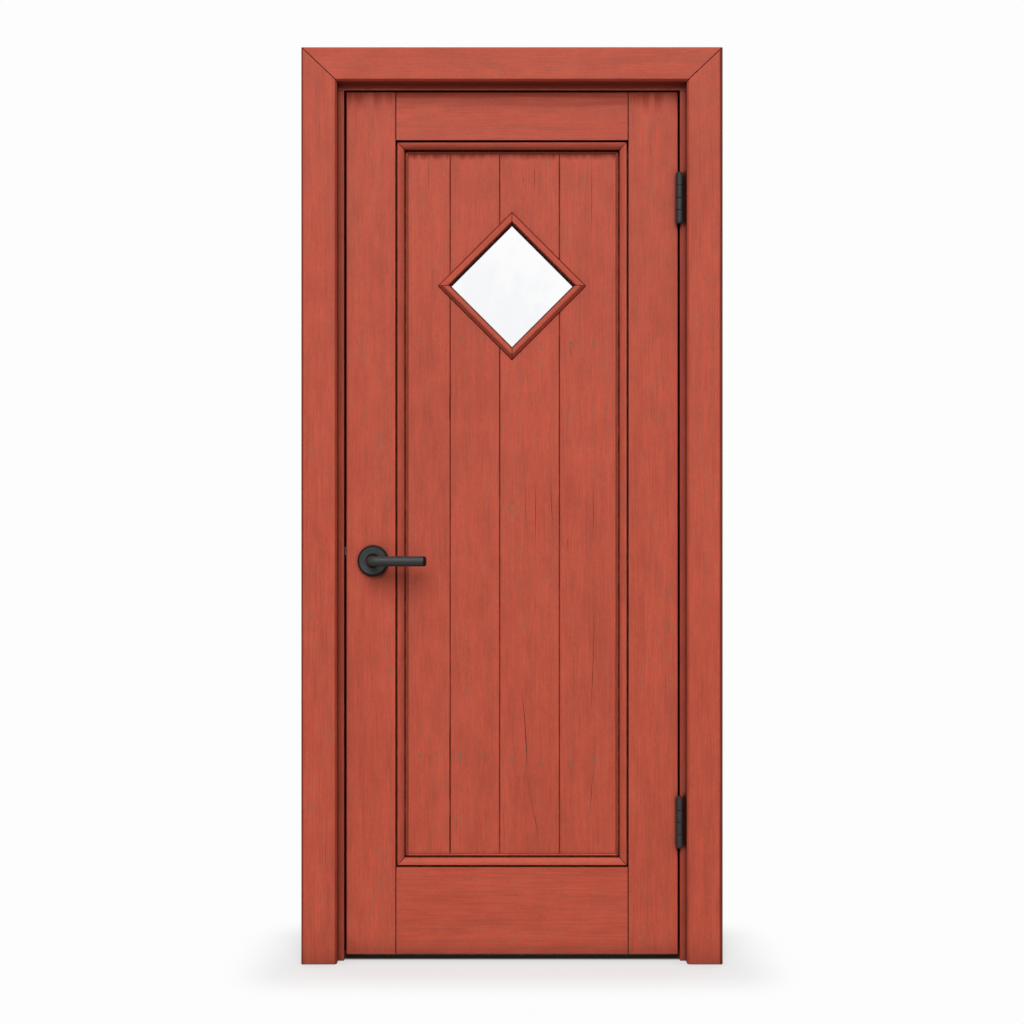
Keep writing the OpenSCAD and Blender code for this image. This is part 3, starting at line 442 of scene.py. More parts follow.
def painted_timber(name, grain, seed, level=1.0, grime=1.0, knots=(), nails=(), shades=(), soot=()):
    """Weathered red paint over grain that runs along the piece, with dirt and painted shade in corners and
    painted shade along edges.

    Each of the shades is a painted shade: an axis, the place where it starts, the place where it is full and
    its share;
    the axis "window" counts from the middle of the window. Each shadow spot is an oval of painted shadow on the
    face.
    """
    paint = paint_settings()
    g = new_graph(name)
    shift = (seed * 1.7, seed * 0.9, seed * 2.3)
    noise = {
        key: g.noise(g.place(grain, (across, across, along), shift), 1.0, *texture)
        for key, (across, along, *texture) in PATTERNS.items()
    }
    marks = g.place()
    apart = g.axes()

    colour = g.mix(g.span(noise["figure"], 0.35, 0.65, 0.0, 0.45), paint.paint, paint.bright)
    rubs = g.math("MULTIPLY", g.span(noise["smudge"], 0.48, 0.72), g.span(noise["broad"], 0.36, 0.66))
    colour = g.mix(g.math("MULTIPLY", rubs, 0.45), colour, paint.rubbed)
    tone = g.math("ADD", *(g.swing(noise[key], *ends) for key, ends in TONES.items()))
    # The paint is a little darker towards the floor, a painted shade.
    tone = g.math("MULTIPLY", tone, g.span(apart["Z"], 0.0, 1.1, 0.955 * level, level))
    grey = g.node("ShaderNodeCombineColor", {0: tone, 1: tone, 2: tone}).outputs[0]
    colour = g.mix(1.0, colour, grey, "MULTIPLY")
    thin = g.span(noise["broad"], 0.45, 0.60, 0.1, 0.7)
    colour = g.mix(g.math("MULTIPLY", g.span(noise["hairline"], 0.69, 0.79), thin), colour, paint.dirt_and_shade)
    colour = g.mix(g.span(noise["scuff"], 0.70, 0.80, 0.0, 0.50), colour, paint.stain)

    height = g.math("ADD", g.math("MULTIPLY", noise["fibre"], 0.6), g.math("MULTIPLY", noise["figure"], 0.5))
    for knot in knots:
        reach = g.spot(marks, *knot)
        ring = g.math("MULTIPLY", g.span(reach, 0.45, 0.80), g.span(reach, 1.15, 0.85))
        colour = g.mix(g.math("MULTIPLY", ring, 0.55), colour, paint.stain)
        height = g.math("SUBTRACT", height, g.math("MULTIPLY", ring, 0.7))
    for x, z in nails:
        oval = g.spot(marks, x, z - STAIN_DROP, STAIN_WIDTH, STAIN_HEIGHT)
        reach = g.math("ADD", oval, g.swing(noise["smudge"], -0.35, 0.35))
        colour = g.mix(g.span(reach, 1.15, 0.45, 0.0, stain_strength(x, z)), colour, paint.stain)

    # Painted shade along edges and painted shadows beside the hinge barrels, on front faces only; where they
    # lie the paint shines less.
    front = g.span(apart["Y"], LEAF_FACE + 20 * MM, LEAF_FACE + 15 * MM)
    painted_shades = []
    for axis, start, full, strength in shades:
        wander = 0.15 * (full - start)
        place = from_window(g, apart) if axis == "window" else apart[axis]
        near = g.math("ADD", place, g.swing(noise["figure"], -wander, wander))
        share = g.span(near, start, full, 0.0, strength)
        painted_shades.append((share if axis == "window" else g.math("MULTIPLY", share, front), paint.dirt_and_shade))
    for mark in soot:
        share = g.span(g.spot(marks, *mark), 1.0, 0.75, 0.0, 0.95)
        painted_shades.append((g.math("MULTIPLY", share, front), toned(paint.dirt_and_shade, DARKEST_TONE)))
    shine = PAINT_SHINE * level
    for share, dirt_and_shade in painted_shades:
        colour = g.mix(share, colour, dirt_and_shade)
        shine = g.math("MULTIPLY", g.span(share, 0.0, 0.6, 1.0, 0.1), shine)

    # Dirt and painted shade in corners and recesses: the paint darkens where little is open round a point.
    colour = g.mix(g.span(g.openness(0.022), 0.62, 0.18, 0.0, 0.85 * grime), colour, paint.dirt_and_shade)
    colour = g.mix(g.span(g.openness(0.075), 0.93, 0.45, 0.0, 0.60 * grime), colour, paint.dirt_and_shade)
    rough = g.math("ADD", g.swing(noise["fibre"], 0.52, 0.66), g.math("MULTIPLY", rubs, 0.12))
    return g.finish(
        Base_Color=colour, Roughness=rough, Specular_IOR_Level=shine, Normal=g.bump(height, 0.35, 0.0007)
    )


def joint_dirt_and_shade(cover=0.15, opened=()):
    """Grime in the open arrises of the joints, with paint left on a share of them; the same finish is the
    painted shade on the rims of the beads and deep in the moulding's quirk and groove.
    """
    paint = paint_settings()
    g = new_graph("joint_dirt_and_shade")
    broken = g.noise(g.place(UPRIGHT, (90.0, 90.0, 30.0)), 1.0, 4.0, 0.7)
    colour = g.mix(g.span(broken, 0.40, 0.70, cover, cover + 0.4), paint.dirt_and_shade, paint.paint)
    height = g.axes()["Z"]
    fade = 8 * MM
    for low, high in opened:
        above = g.span(height, low - fade, low + fade)
        below = g.span(height, high + fade, high - fade)
        colour = g.mix(g.math("MULTIPLY", above, below), colour, toned(paint.dirt_and_shade, DARKEST_TONE))
    return g.finish(
        Base_Color=colour, Roughness=0.85, Specular_IOR_Level=0.1, Normal=g.bump(broken, 0.3, 0.0005)
    )


def black_iron(name="black_iron_finish", rose=None, tip=None):
    """Black powder finish with a fine orange-peel surface; painted shade at the rim of a rose, round its
    lever's neck and at the tip of a lever, and painted light on a rose's lower half.
    """
    iron = metal_settings().iron
    g = new_graph(name)
    peel = g.noise(g.place(), 900.0, 3.0, 0.6)
    wear = g.noise(g.place(), 60.0, 4.0, 0.6)
    tone = g.mix(g.span(wear, 0.42, 0.68), iron, toned(iron, 1.45))
    tone = g.mix(g.span(peel, 0.40, 0.66, 0.0, 0.6), tone, toned(iron, 1.9))
    apart = g.axes()
    shine = IRON_SHINE
    unshaded = None
    if rose is not None:
        x, z, radius = rose
        # Painted light: the lower half of a rose is lighter, against the shadow of its lever.
        tone = g.mix(g.span(apart["Z"], z, z - radius, 0.0, 0.75), tone, toned(iron, 4.0))
        # Painted shade at the rim of a rose and round the neck of its lever.
        reach = g.spot(g.place(), x, z, radius, radius)
        unshaded = g.math("MULTIPLY", g.span(reach, 0.97, 0.82), g.span(reach, 0.43, 0.52))
    if tip is not None:
        # Painted shade on the rounded tip of a lever.
        unshaded = g.span(apart["X"], tip - 5 * MM, tip - 8 * MM)
    if unshaded is not None:
        tone = g.mix(unshaded, toned(iron, 0.25), tone)
        shine = g.math("MULTIPLY", g.span(unshaded, 0.0, 1.0, 0.25, 1.0), shine)
    return g.finish(
        Base_Color=tone, Metallic=0.0, Roughness=g.swing(wear, 0.46, 0.60), Specular_IOR_Level=shine,
        Normal=g.bump(peel, 0.25, 0.0003),
    )


def latch_steel():
    """Steel brushed along its length, with a little grime."""
    steel = metal_settings().steel
    g = new_graph("latch_steel_finish")
    brush = g.noise(g.place(UPRIGHT, (1400.0, 1400.0, 24.0)), 1.0, 3.0, 0.6)
    grime = g.noise(g.place(), 75.0, 4.0, 0.65)
    tone = g.mix(g.span(grime, 0.45, 0.75, 0.0, 0.6), steel, toned(steel, 0.42))
    return g.finish(
        Base_Color=tone, Metallic=1.0, Roughness=g.swing(brush, 0.26, 0.42), Normal=g.bump(brush, 0.10, 0.0002)
    )


def nail_iron():
    """Dull hammered iron with a film of rust and paint."""
    nail = metal_settings().nail
    g = new_graph("nail_iron_finish")
    rust = g.noise(g.place(), 420.0, 4.0, 0.65)
    tone = g.mix(g.span(rust, 0.40, 0.65), nail, toned(nail, 0.7))
    return g.finish(
        Base_Color=tone, Metallic=0.2, Roughness=g.swing(rust, 0.60, 0.85), Normal=g.bump(rust, 0.4, 0.0004)
    )


def window_glass():
    """Clear drawn glass, faintly wavy and smudged, with a faint bluish tint painted darker towards the bottom
    and the lock side as painted shade.
    """
    g = new_graph("window_glass_finish")
    wave = g.noise(g.place(UPRIGHT, (9.0, 9.0, 5.0)), 1.0, 1.0)
    smear = g.noise(g.place(UPRIGHT, (22.0, 22.0, 14.0)), 1.0, 4.0, 0.6)
    apart = g.axes(shift=toned(WINDOW_MIDDLE, -1.0))
    painted_shade_ramp = g.math(
        "ADD", g.math("MULTIPLY", apart["Z"], 6.0), g.math("MULTIPLY", apart["X"], 2.6),
        g.swing(smear, -0.45, 0.45),
    )
    tint = g.mix(g.span(painted_shade_ramp, -0.45, 0.60), (0.930, 0.938, 0.958), (0.988, 0.988, 0.992))
    return g.finish(
        Base_Color=tint, Roughness=g.span(smear, 0.45, 0.75, 0.0, 0.05), IOR=1.46,
        Transmission_Weight=1.0, Normal=g.bump(wave, 0.05, 0.004),
    )


# Modelling


def deselect():
    if bpy.context.object and bpy.context.object.mode != "OBJECT":
        bpy.ops.object.mode_set(mode="OBJECT")
    bpy.ops.object.select_all(action="DESELECT")


def take(piece):
    """Makes one piece the only one selected."""
    deselect()
    piece.select_set(True)
    bpy.context.view_layer.objects.active = piece


def apply(piece, kind, **values):
    """Adds a modifier and applies it at once."""
    take(piece)
    modifier = piece.modifiers.new(kind.title(), kind)
    for key, value in values.items():
        setattr(modifier, key, value)
    bpy.ops.object.modifier_apply(modifier=modifier.name)


def cut(piece, cutter):
    """Takes a cutter out of a piece, and then away."""
    apply(piece, "BOOLEAN", object=cutter, operation="DIFFERENCE", solver="EXACT")
    bpy.data.objects.remove(cutter)


def copy_of(node, ending="finish"):
    """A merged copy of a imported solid, with flat faces made whole."""
    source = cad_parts[node]
    piece = bpy.data.objects.new(f"{node}_{ending}", source.data.copy())
    bpy.context.scene.collection.objects.link(piece)
    piece.data.materials.clear()
    take(piece)
    if piece.data.has_custom_normals:
        bpy.ops.mesh.customdata_custom_splitnormals_clear()
    bpy.ops.object.mode_set(mode="EDIT")
    bpy.ops.mesh.select_all(action="SELECT")
    bpy.ops.mesh.remove_doubles(threshold=0.01 * MM)
    bpy.ops.mesh.dissolve_limited(angle_limit=math.radians(0.4))
    bpy.ops.object.mode_set(mode="OBJECT")
    return piece


def edit_nothing_selected(piece, kind):
    """Opens a piece for editing, to select its edges or corners anew."""
    take(piece)
    bpy.ops.object.mode_set(mode="EDIT")
    bpy.ops.mesh.select_mode(type=kind)
    bpy.ops.mesh.select_all(action="DESELECT")
    return bmesh.from_edit_mesh(piece.data)


def ease(piece, width, chosen, finish=-1, segments=2):
    """Bevels the outer edges that a test chooses, and may give them a finish of their own."""
    mesh = edit_nothing_selected(piece, "EDGE")
    found = [edge for edge in mesh.edges if len(edge.link_faces) == 2 and chosen(edge)]
    for edge in found:
        edge.select_set(True)
    bmesh.update_edit_mesh(piece.data)
    if found:
        bpy.ops.mesh.bevel(
            offset=width, segments=segments, affect="EDGES", clamp_overlap=False, material=finish
        )
    bpy.ops.object.mode_set(mode="OBJECT")


def long_arris(shortest, sharpest=40.0):
    """Test for long sharp outer edges."""
    least = math.radians(sharpest)
    return lambda edge: edge.calc_length() >= shortest and edge.calc_face_angle_signed() > least


def joint_arris(grain):
    """Test for the outer edges of the faces where a piece meets the next one end on."""
    turn = Euler(grain).to_matrix().inverted()
    across = [turn @ Vector(way).normalized() for way in ((0, 0, 1), (1, 0, 1), (-1, 0, 1))]

    def chosen(edge):
        if edge.calc_face_angle_signed() < math.radians(25):
            return False
        return any(abs(face.normal.dot(way)) > 0.999 for face in edge.link_faces for way in across)

    return chosen


def bead_rims(crest):
    """Finder of a test for the long edges of a bead that lie down by the boards and the glass."""

    def test_for(piece):
        top = crest(vert.co.y for vert in piece.data.vertices)

        def chosen(edge):
            if edge.calc_length() < 20 * MM or edge.calc_face_angle_signed() < 0.4:
                return False
            return all(5 * MM < abs(vert.co.y - top) < 9 * MM for vert in edge.verts)

        return chosen

    return test_for


def knuckle_ring(edge):
    """Test for the edges round the ends of a hinge's knuckles."""
    ends = [abs(face.normal.z) > 0.99 for face in edge.link_faces]
    return edge.calc_length() < 4 * MM and ends[0] != ends[1]


def smooth(piece, angle=35.0):
    take(piece)
    bpy.ops.object.shade_smooth_by_angle(angle=math.radians(angle))
    apply(piece, "WEIGHTED_NORMAL", keep_sharp=True, weight=80)


def carry(piece, node, body):
    """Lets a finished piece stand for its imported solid."""
    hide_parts(node)
    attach(piece, body)


def coat(node, material):
    """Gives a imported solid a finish."""
    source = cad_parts[node]
    if not source.material_slots:
        source.data.materials.append(None)
    for place in source.material_slots:
        place.material = material


def finish_timber(
    node, body, grain, seed, arris=None, joint=None, level=1.0, cover=0.15, opened=(), shape=None, rim=None,
    **marks
):
    """A painted timber piece with eased arrises, open joints and, on a bead, rims darkened as painted shade."""
    paint = paint_settings()
    piece = copy_of(node)
    if shape:
        shape(piece)
    piece.data.materials.append(painted_timber(f"paint_{node}", grain, seed, level, **marks))
    piece.data.materials.append(joint_dirt_and_shade(cover, opened))
    if rim:
        ease(piece, paint.rim, rim(piece), finish=1, segments=1)
    at_joint = joint_arris(grain)
    long_edge = long_arris(20 * MM)
    ease(piece, arris or paint.arris, lambda edge: long_edge(edge) and not at_joint(edge))
    ease(piece, joint or paint.joint, at_joint, finish=1, segments=1)
    carry(piece, node, body)
    return piece


def along_line(points, share):
    """The point at a share of a broken line, with a slight wander."""
    place = share * (len(points) - 1)
    first = min(int(place), len(points) - 2)
    part = place - first
    x, z = (start + (end - start) * part for start, end in zip(points[first], points[first + 1]))
    return x + CHECK_WANDER * math.sin(17.0 * share + 60.0 * points[0][0]), z


def cut_check(board, points, width, depth):
    """Opens a drying check along points on the face of a board."""
    shares = [step / CHECK_STEPS for step in range(CHECK_STEPS + 1)]
    line = [along_line(points, share) for share in shares]
    path = [Vector((x, BOARD_FACE, z)) for x, z in line]
    widths = [width * max(CHECK_TAPER, math.sin(math.pi * share)) for share in shares]
    deselect()
    bpy.ops.mesh.primitive_circle_add(vertices=4, radius=1.0, fill_type="NGON", location=path[0])
    cutter = bpy.context.object
    bpy.ops.object.mode_set(mode="EDIT")
    bpy.ops.mesh.select_all(action="SELECT")
    bpy.ops.transform.resize(value=(widths[0] / 2, depth, 1.0), center_override=path[0])
    for step in range(1, CHECK_STEPS + 1):
        move = (line[step][0] - line[step - 1][0], 0.0, line[step][1] - line[step - 1][1])
        bpy.ops.mesh.extrude_region_move(TRANSFORM_OT_translate={"value": move})
        taper = widths[step] / widths[step - 1]
        bpy.ops.transform.resize(value=(taper, 1.0, 1.0), center_override=path[step])
    bpy.ops.mesh.select_all(action="SELECT")
    bpy.ops.mesh.normals_make_consistent(inside=False)
    bpy.ops.object.mode_set(mode="OBJECT")
    cut(board, cutter)


def islands(piece):
    """Loose parts of a piece: lowest corner, highest corner and points of each."""
    mesh = bmesh.new()
    mesh.from_mesh(piece.data)
    left = set(mesh.verts)
    boxes = []
    while left:
        reach = [left.pop()]
        found = []
        while reach:
            vert = reach.pop()
            found.append(vert.co.copy())
            for edge in vert.link_edges:
                other = edge.other_vert(vert)
                if other in left:
                    left.remove(other)
                    reach.append(other)
        low, high = (Vector([end(point[axis] for point in found) for axis in range(3)]) for end in (min, max))
        boxes.append((low, high, found))
    mesh.free()
    return sorted(boxes, key=lambda box: tuple(round(part, 5) for part in box[0]))


def slot_heads(piece, width):
    """Cuts a straight slot across the head of each screw, each turned a little further."""
    for number, (low, high, points) in enumerate(islands(piece)):
        size = high - low
        axis = max(range(3), key=lambda index: size[index])
        middle = (low + high) / 2
        ends = [[p for p in points if abs(p[axis] - end[axis]) < 0.05 * MM] for end in (low, high)]
        spread = [max((p - middle).length_squared for p in group) for group in ends]
        middle[axis] = (low if spread[0] > spread[1] else high)[axis]
        along, across = (index for index in range(3) if index != axis)
        sides = [0.0, 0.0, 0.0]
        sides[axis] = 2 * width
        sides[along] = 1.4 * size[along]
        sides[across] = width
        deselect()
        bpy.ops.mesh.primitive_cube_add(size=1.0, location=middle)
        cutter = bpy.context.object
        bpy.ops.object.mode_set(mode="EDIT")
        bpy.ops.mesh.select_all(action="SELECT")
        bpy.ops.transform.resize(value=sides, center_override=middle)
        turn = math.radians((37 * number) % 180)
        bpy.ops.transform.rotate(value=turn, orient_axis="XYZ"[axis], center_override=middle)
        bpy.ops.object.mode_set(mode="OBJECT")
        cut(piece, cutter)


def widen_bevel(piece):
    """Brings the outer edge of a bead's flat face towards the glass, for a broader outer bevel."""
    middle = Vector((0.0, 0.0, WINDOW_MIDDLE[2]))
    face = min(vert.co.y for vert in piece.data.vertices) + 0.05 * MM

    def reach_of(vert):
        point = vert.co - middle
        return abs(point.x) + abs(point.z)

    reach = max(reach_of(vert) for vert in piece.data.vertices if vert.co.y < face)
    for vert in edit_nothing_selected(piece, "VERT").verts:
        vert.select_set(vert.co.y < face and reach_of(vert) > reach - 0.1 * MM)
    bmesh.update_edit_mesh(piece.data)
    share = 1.0 - BEVEL_GAIN / reach
    bpy.ops.transform.resize(value=(share, 1.0, share), center_override=middle)
    bpy.ops.object.mode_set(mode="OBJECT")


# Places of marks


def hinge_soot():
    """Painted shadows of the hinge barrels on the lining beside them."""
    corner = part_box("front_casing_hinge_side")[0][0]
    heights = [sum(end[2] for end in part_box(f"{place}_hinge_pin")) / 2 for place in ("upper", "lower")]
    return [(corner - 3 * MM, height, 9 * MM, 72 * MM) for height in heights]


def casing_shades(node):
    """Painted shade along the edges of a side casing: on its rounded outer arris, and on the lock side also on
    its inner bevel.
    """
    low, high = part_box(node)
    if node.endswith("lock_side"):
        return (
            ("X", low[0] + 6 * MM, low[0] + 3 * MM, 0.58),
            ("X", high[0] - 5.2 * MM, high[0] - 4.4 * MM, 0.36),
        )
    return (("X", high[0] - 9 * MM, high[0] - 5 * MM, 0.66),)


def fillet_shades(side):
    """Painted shade line along the inner edge of the upright fillets."""
    low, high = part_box(f"panel_moulding_{side}")
    if side == "lock_side":
        return (("X", high[0] - 2.6 * MM, high[0] - 1.2 * MM, 0.7),)
    if side == "hinge_side":
        return (("X", low[0] + 2.6 * MM, low[0] + 1.2 * MM, 0.7),)
    return ()


def bead_shades():
    """Painted shade along the inner and the outer edges of the glazing beads."""
    bead = "front_bead_lower_hinge_side"
    points = [vert.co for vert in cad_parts[bead].data.vertices]
    inside = min(abs(point.x) + abs(point.z - WINDOW_MIDDLE[2]) for point in points)
    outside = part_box(bead)[1][0]
    return (
        ("window", inside + 6.0 * MM, inside + 3.5 * MM, 0.80),
        ("window", outside - 5.0 * MM, outside - 2.5 * MM, 0.75),
    )


def nail_places():
    """Middles (x, z) of the board nails, measured on a merged copy."""
    piece = copy_of("board_nails", "measure")
    places = [((low[0] + high[0]) / 2, (low[2] + high[2]) / 2) for low, high, _ in islands(piece)]
    bpy.data.objects.remove(piece)
    return places


# Steps


class BOARDED_DOOR_OT_lining(bpy.types.Operator):
    """Finish the jambs, the head and the stops of the lining."""

    bl_idname = "boarded_door.lining"
    bl_label = "Finish Lining"
    bl_options = {"REGISTER", "UNDO"}

    def execute(self, context):
        # Lining pieces take the darker lining tone as painted shade in the recess behind the casings; the hinge
        # jamb also takes painted shadows beside the hinge barrels.
        tone = paint_settings().lining_shade_tone
        for seed, node in enumerate(("lock_jamb", "hinge_jamb", "lock_stop", "hinge_stop"), 1):
            soot = hinge_soot() if node == "hinge_jamb" else ()
            smooth(finish_timber(node, "frame", UPRIGHT, seed, level=tone, grime=0.4, soot=soot))
        for seed, node in enumerate(("head_jamb", "head_stop"), 5):
            smooth(finish_timber(node, "frame", LEVEL, seed, level=1.5 * tone, grime=0.4))
        return {"FINISHED"}


class BOARDED_DOOR_OT_casings(bpy.types.Operator):
    """Finish the mitred casings on both faces."""

    bl_idname = "boarded_door.casings"
    bl_label = "Finish Casings"
    bl_options = {"REGISTER", "UNDO"}

    def execute(self, context):
        for face, seed in (("front", 8.0), ("rear", 10.0)):
            for side, step in (("lock_side", 0.0), ("hinge_side", 0.7)):
                node = f"{face}_casing_{side}"
                smooth(finish_timber(
                    node, "frame", UPRIGHT, seed + step, grime=0.7, shades=casing_shades(node), **MITRE
                ))
            smooth(finish_timber(f"{face}_casing_head", "frame", LEVEL, seed + 1.3, grime=0.45, **MITRE))
        return {"FINISHED"}


class BOARDED_DOOR_OT_leaf_frame(bpy.types.Operator):
    """Finish the stiles, the rails and the ledges of the leaf."""

    bl_idname = "boarded_door.leaf_frame"
    bl_label = "Finish Stiles and Rails"
    bl_options = {"REGISTER", "UNDO"}

    def execute(self, context):
        low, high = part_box("lock_stile")
        # Painted shadow of the head casing across the top of the leaf, and darker along the lock edge by the
        # gap.
        under_head = ("Z", high[2] - 50 * MM, high[2] + 15 * MM, 0.64)
        lock_edge = ("X", low[0] + 5 * MM, low[0] + 1 * MM, 0.35)
        smooth(finish_timber("lock_stile", "door", UPRIGHT, 14, shades=(under_head, lock_edge)))
        smooth(finish_timber("hinge_stile", "door", UPRIGHT, 15, shades=(under_head,)))
        for seed, node in enumerate(("top_rail", "bottom_rail"), 17):
            smooth(finish_timber(node, "door", LEVEL, seed, shades=(under_head,), **SHOULDER))
        for seed, node in enumerate(("upper_ledge", "lower_ledge"), 19):
            smooth(finish_timber(node, "door", LEVEL, seed))
        return {"FINISHED"}


class BOARDED_DOOR_OT_boards(bpy.types.Operator):
    """Finish the boards with their checks, knots and nail stains."""

    bl_idname = "boarded_door.boards"
    bl_label = "Finish Boards"
    bl_options = {"REGISTER", "UNDO"}

    def execute(self, context):
        heads = nail_places()
        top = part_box("panel_moulding_top")[0][2]
        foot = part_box("panel_moulding_bottom")[1][2]
        # Painted shadow below the top moulding and painted shade above the bottom one.
        shades = (("Z", top - 17 * MM, top + 5 * MM, 0.78), ("Z", foot + 9 * MM, foot - 4 * MM, 0.25))
        for number in range(1, 5):
            node = f"board_{number}"
            low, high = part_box(node)
            piece = finish_timber(
                node, "door", UPRIGHT, 22 + number, opened=OPEN_JOINTS.get(node, ()), knots=KNOTS.get(node, ()),
                nails=[head for head in heads if low[0] < head[0] < high[0]], shades=shades, **BOARD_EDGE
            )
            for face in piece.data.polygons:
                if face.normal.y < -0.5 and abs(face.normal.x) > 0.5:
                    face.material_index = 1
            for points, width in CHECKS.get(node, ()):
                cut_check(piece, points, width, paint_settings().check_depth)
            smooth(piece)
        return {"FINISHED"}


class BOARDED_DOOR_OT_mouldings(bpy.types.Operator):
    """Finish the panel moulding and the glazing beads."""

    bl_idname = "boarded_door.mouldings"
    bl_label = "Finish Mouldings"
    bl_options = {"REGISTER", "UNDO"}

    def execute(self, context):
        for seed, (side, (grain, tone, fillet_shade_tone)) in enumerate(MOULDINGS.items(), 28):
            piece = finish_timber(
                f"panel_moulding_{side}", "door", grain, seed, level=tone, **MOULDING_EDGE
            )
            piece.data.materials.append(
                painted_timber(f"paint_fillet_{side}", grain, seed, fillet_shade_tone, shades=fillet_shades(side))
            )
            # Faces deep in the quirk and the groove take the joint finish as painted shade; the fillet faces
            # take the fillet paint.
            for face in piece.data.polygons:
                if face.center.y > BOARD_FACE + 0.2 * MM:
                    face.material_index = 1
                elif face.center.y > BOARD_FACE - 2 * MM:
                    face.material_index = 2
            smooth(piece)
        inner, outer = bead_shades()
        for face, seed, shape, crest in (("front", 160, widen_bevel, min), ("rear", 165, None, max)):
            for number, (side, grain) in enumerate(BEADS.items()):
                smooth(finish_timber(
                    f"{face}_bead_{side}", "door", grain, seed + number, shape=shape, rim=bead_rims(crest),
                    shades=(inner,) if side.startswith("lower") else (inner, outer), **BEAD_EDGE
                ))
        return {"FINISHED"}


class BOARDED_DOOR_OT_glass(bpy.types.Operator):
    """Finish the glass of the diamond light."""

    bl_idname = "boarded_door.glass"
    bl_label = "Finish Glass"
    bl_options = {"REGISTER", "UNDO"}

    def execute(self, context):
        coat("window_glass", window_glass())
        return {"FINISHED"}


class BOARDED_DOOR_OT_hinges(bpy.types.Operator):
    """Finish the hinge leaves and pins."""

    bl_idname = "boarded_door.hinges"
    bl_label = "Finish Hinges"
    bl_options = {"REGISTER", "UNDO"}

    def execute(self, context):
        metal = metal_settings()
        iron = black_iron()
        grime = joint_dirt_and_shade(0.0)
        for place in ("upper", "lower"):
            for part, body in (("frame_leaf", "frame"), ("door_leaf", "door"), ("pin", "frame")):
                node = f"{place}_hinge_{part}"
                piece = copy_of(node)
                piece.data.materials.append(iron)
                if part != "pin":
                    piece.data.materials.append(grime)
                    ease(piece, metal.arris, long_arris(6 * MM, 60.0))
                    ease(piece, metal.knuckle, knuckle_ring, finish=1, segments=1)
                smooth(piece)
                carry(piece, node, body)
        return {"FINISHED"}


class BOARDED_DOOR_OT_handles(bpy.types.Operator):
    """Finish the roses and the levers."""

    bl_idname = "boarded_door.handles"
    bl_label = "Finish Handles"
    bl_options = {"REGISTER", "UNDO"}

    def execute(self, context):
        low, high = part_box("front_rose")
        rose = ((low[0] + high[0]) / 2, (low[2] + high[2]) / 2, (high[0] - low[0]) / 2)
        parts = (
            ("rose", "door", black_iron("black_iron_rose", rose=rose)),
            ("lever", "handle", black_iron("black_iron_lever", tip=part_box("front_lever")[1][0])),
        )
        for face in ("front", "rear"):
            for part, body, iron in parts:
                node = f"{face}_{part}"
                piece = copy_of(node)
                piece.data.materials.append(iron)
                smooth(piece, 40.0)
                carry(piece, node, body)
        return {"FINISHED"}


class BOARDED_DOOR_OT_latch(bpy.types.Operator):
    """Finish the mortice latch, its strike and the spindle."""

    bl_idname = "boarded_door.latch"
    bl_label = "Finish Latch"
    bl_options = {"REGISTER", "UNDO"}

    def execute(self, context):
        steel = latch_steel()
        for node, body in (("strike_plate", "frame"), ("latch_forend", "door"), ("latch_bolt", "latch")):
            piece = copy_of(node)
            piece.data.materials.append(steel)
            ease(piece, metal_settings().arris, long_arris(3 * MM, 50.0))
            smooth(piece)
            carry(piece, node, body)
        for node in ("latch_case", "latch_cover", "latch_follower", "spindle"):
            coat(node, steel)
        spring = copy_of("latch_spring")
        spring.data.materials.append(steel)
        smooth(spring, 70.0)
        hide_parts("latch_spring")
        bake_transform(spring)
        return {"FINISHED"}


class BOARDED_DOOR_OT_fasteners(bpy.types.Operator):
    """Slot the screw heads and finish the screws, bolts and nails."""

    bl_idname = "boarded_door.fasteners"
    bl_label = "Finish Fasteners"
    bl_options = {"REGISTER", "UNDO"}

    def execute(self, context):
        iron = black_iron()
        steel = latch_steel()
        for node, body, finish, slot in (
            ("strike_screws", "frame", steel, "latch_steel"),
            ("frame_hinge_screws", "frame", iron, "black_iron"),
            ("door_hinge_screws", "door", iron, "black_iron"),
            ("latch_screws", "door", steel, "latch_steel"),
        ):
            piece = copy_of(node)
            piece.data.materials.append(finish)
            slot_heads(piece, metal_settings().screw_slot)
            smooth(piece, 40.0)
            carry(piece, node, body)
        for node, finish in (("rose_bolts", iron), ("lever_grub_screws", iron), ("board_nails", nail_iron())):
            coat(node, finish)
        return {"FINISHED"}


# Stage


def seen_directly(g):
    """1 for rays that show the background in the picture, in metal or through glass."""
    path = g.node("ShaderNodeLightPath").outputs
    return g.math("MAXIMUM", path["Is Camera Ray"], path["Is Glossy Ray"], path["Is Transmission Ray"])


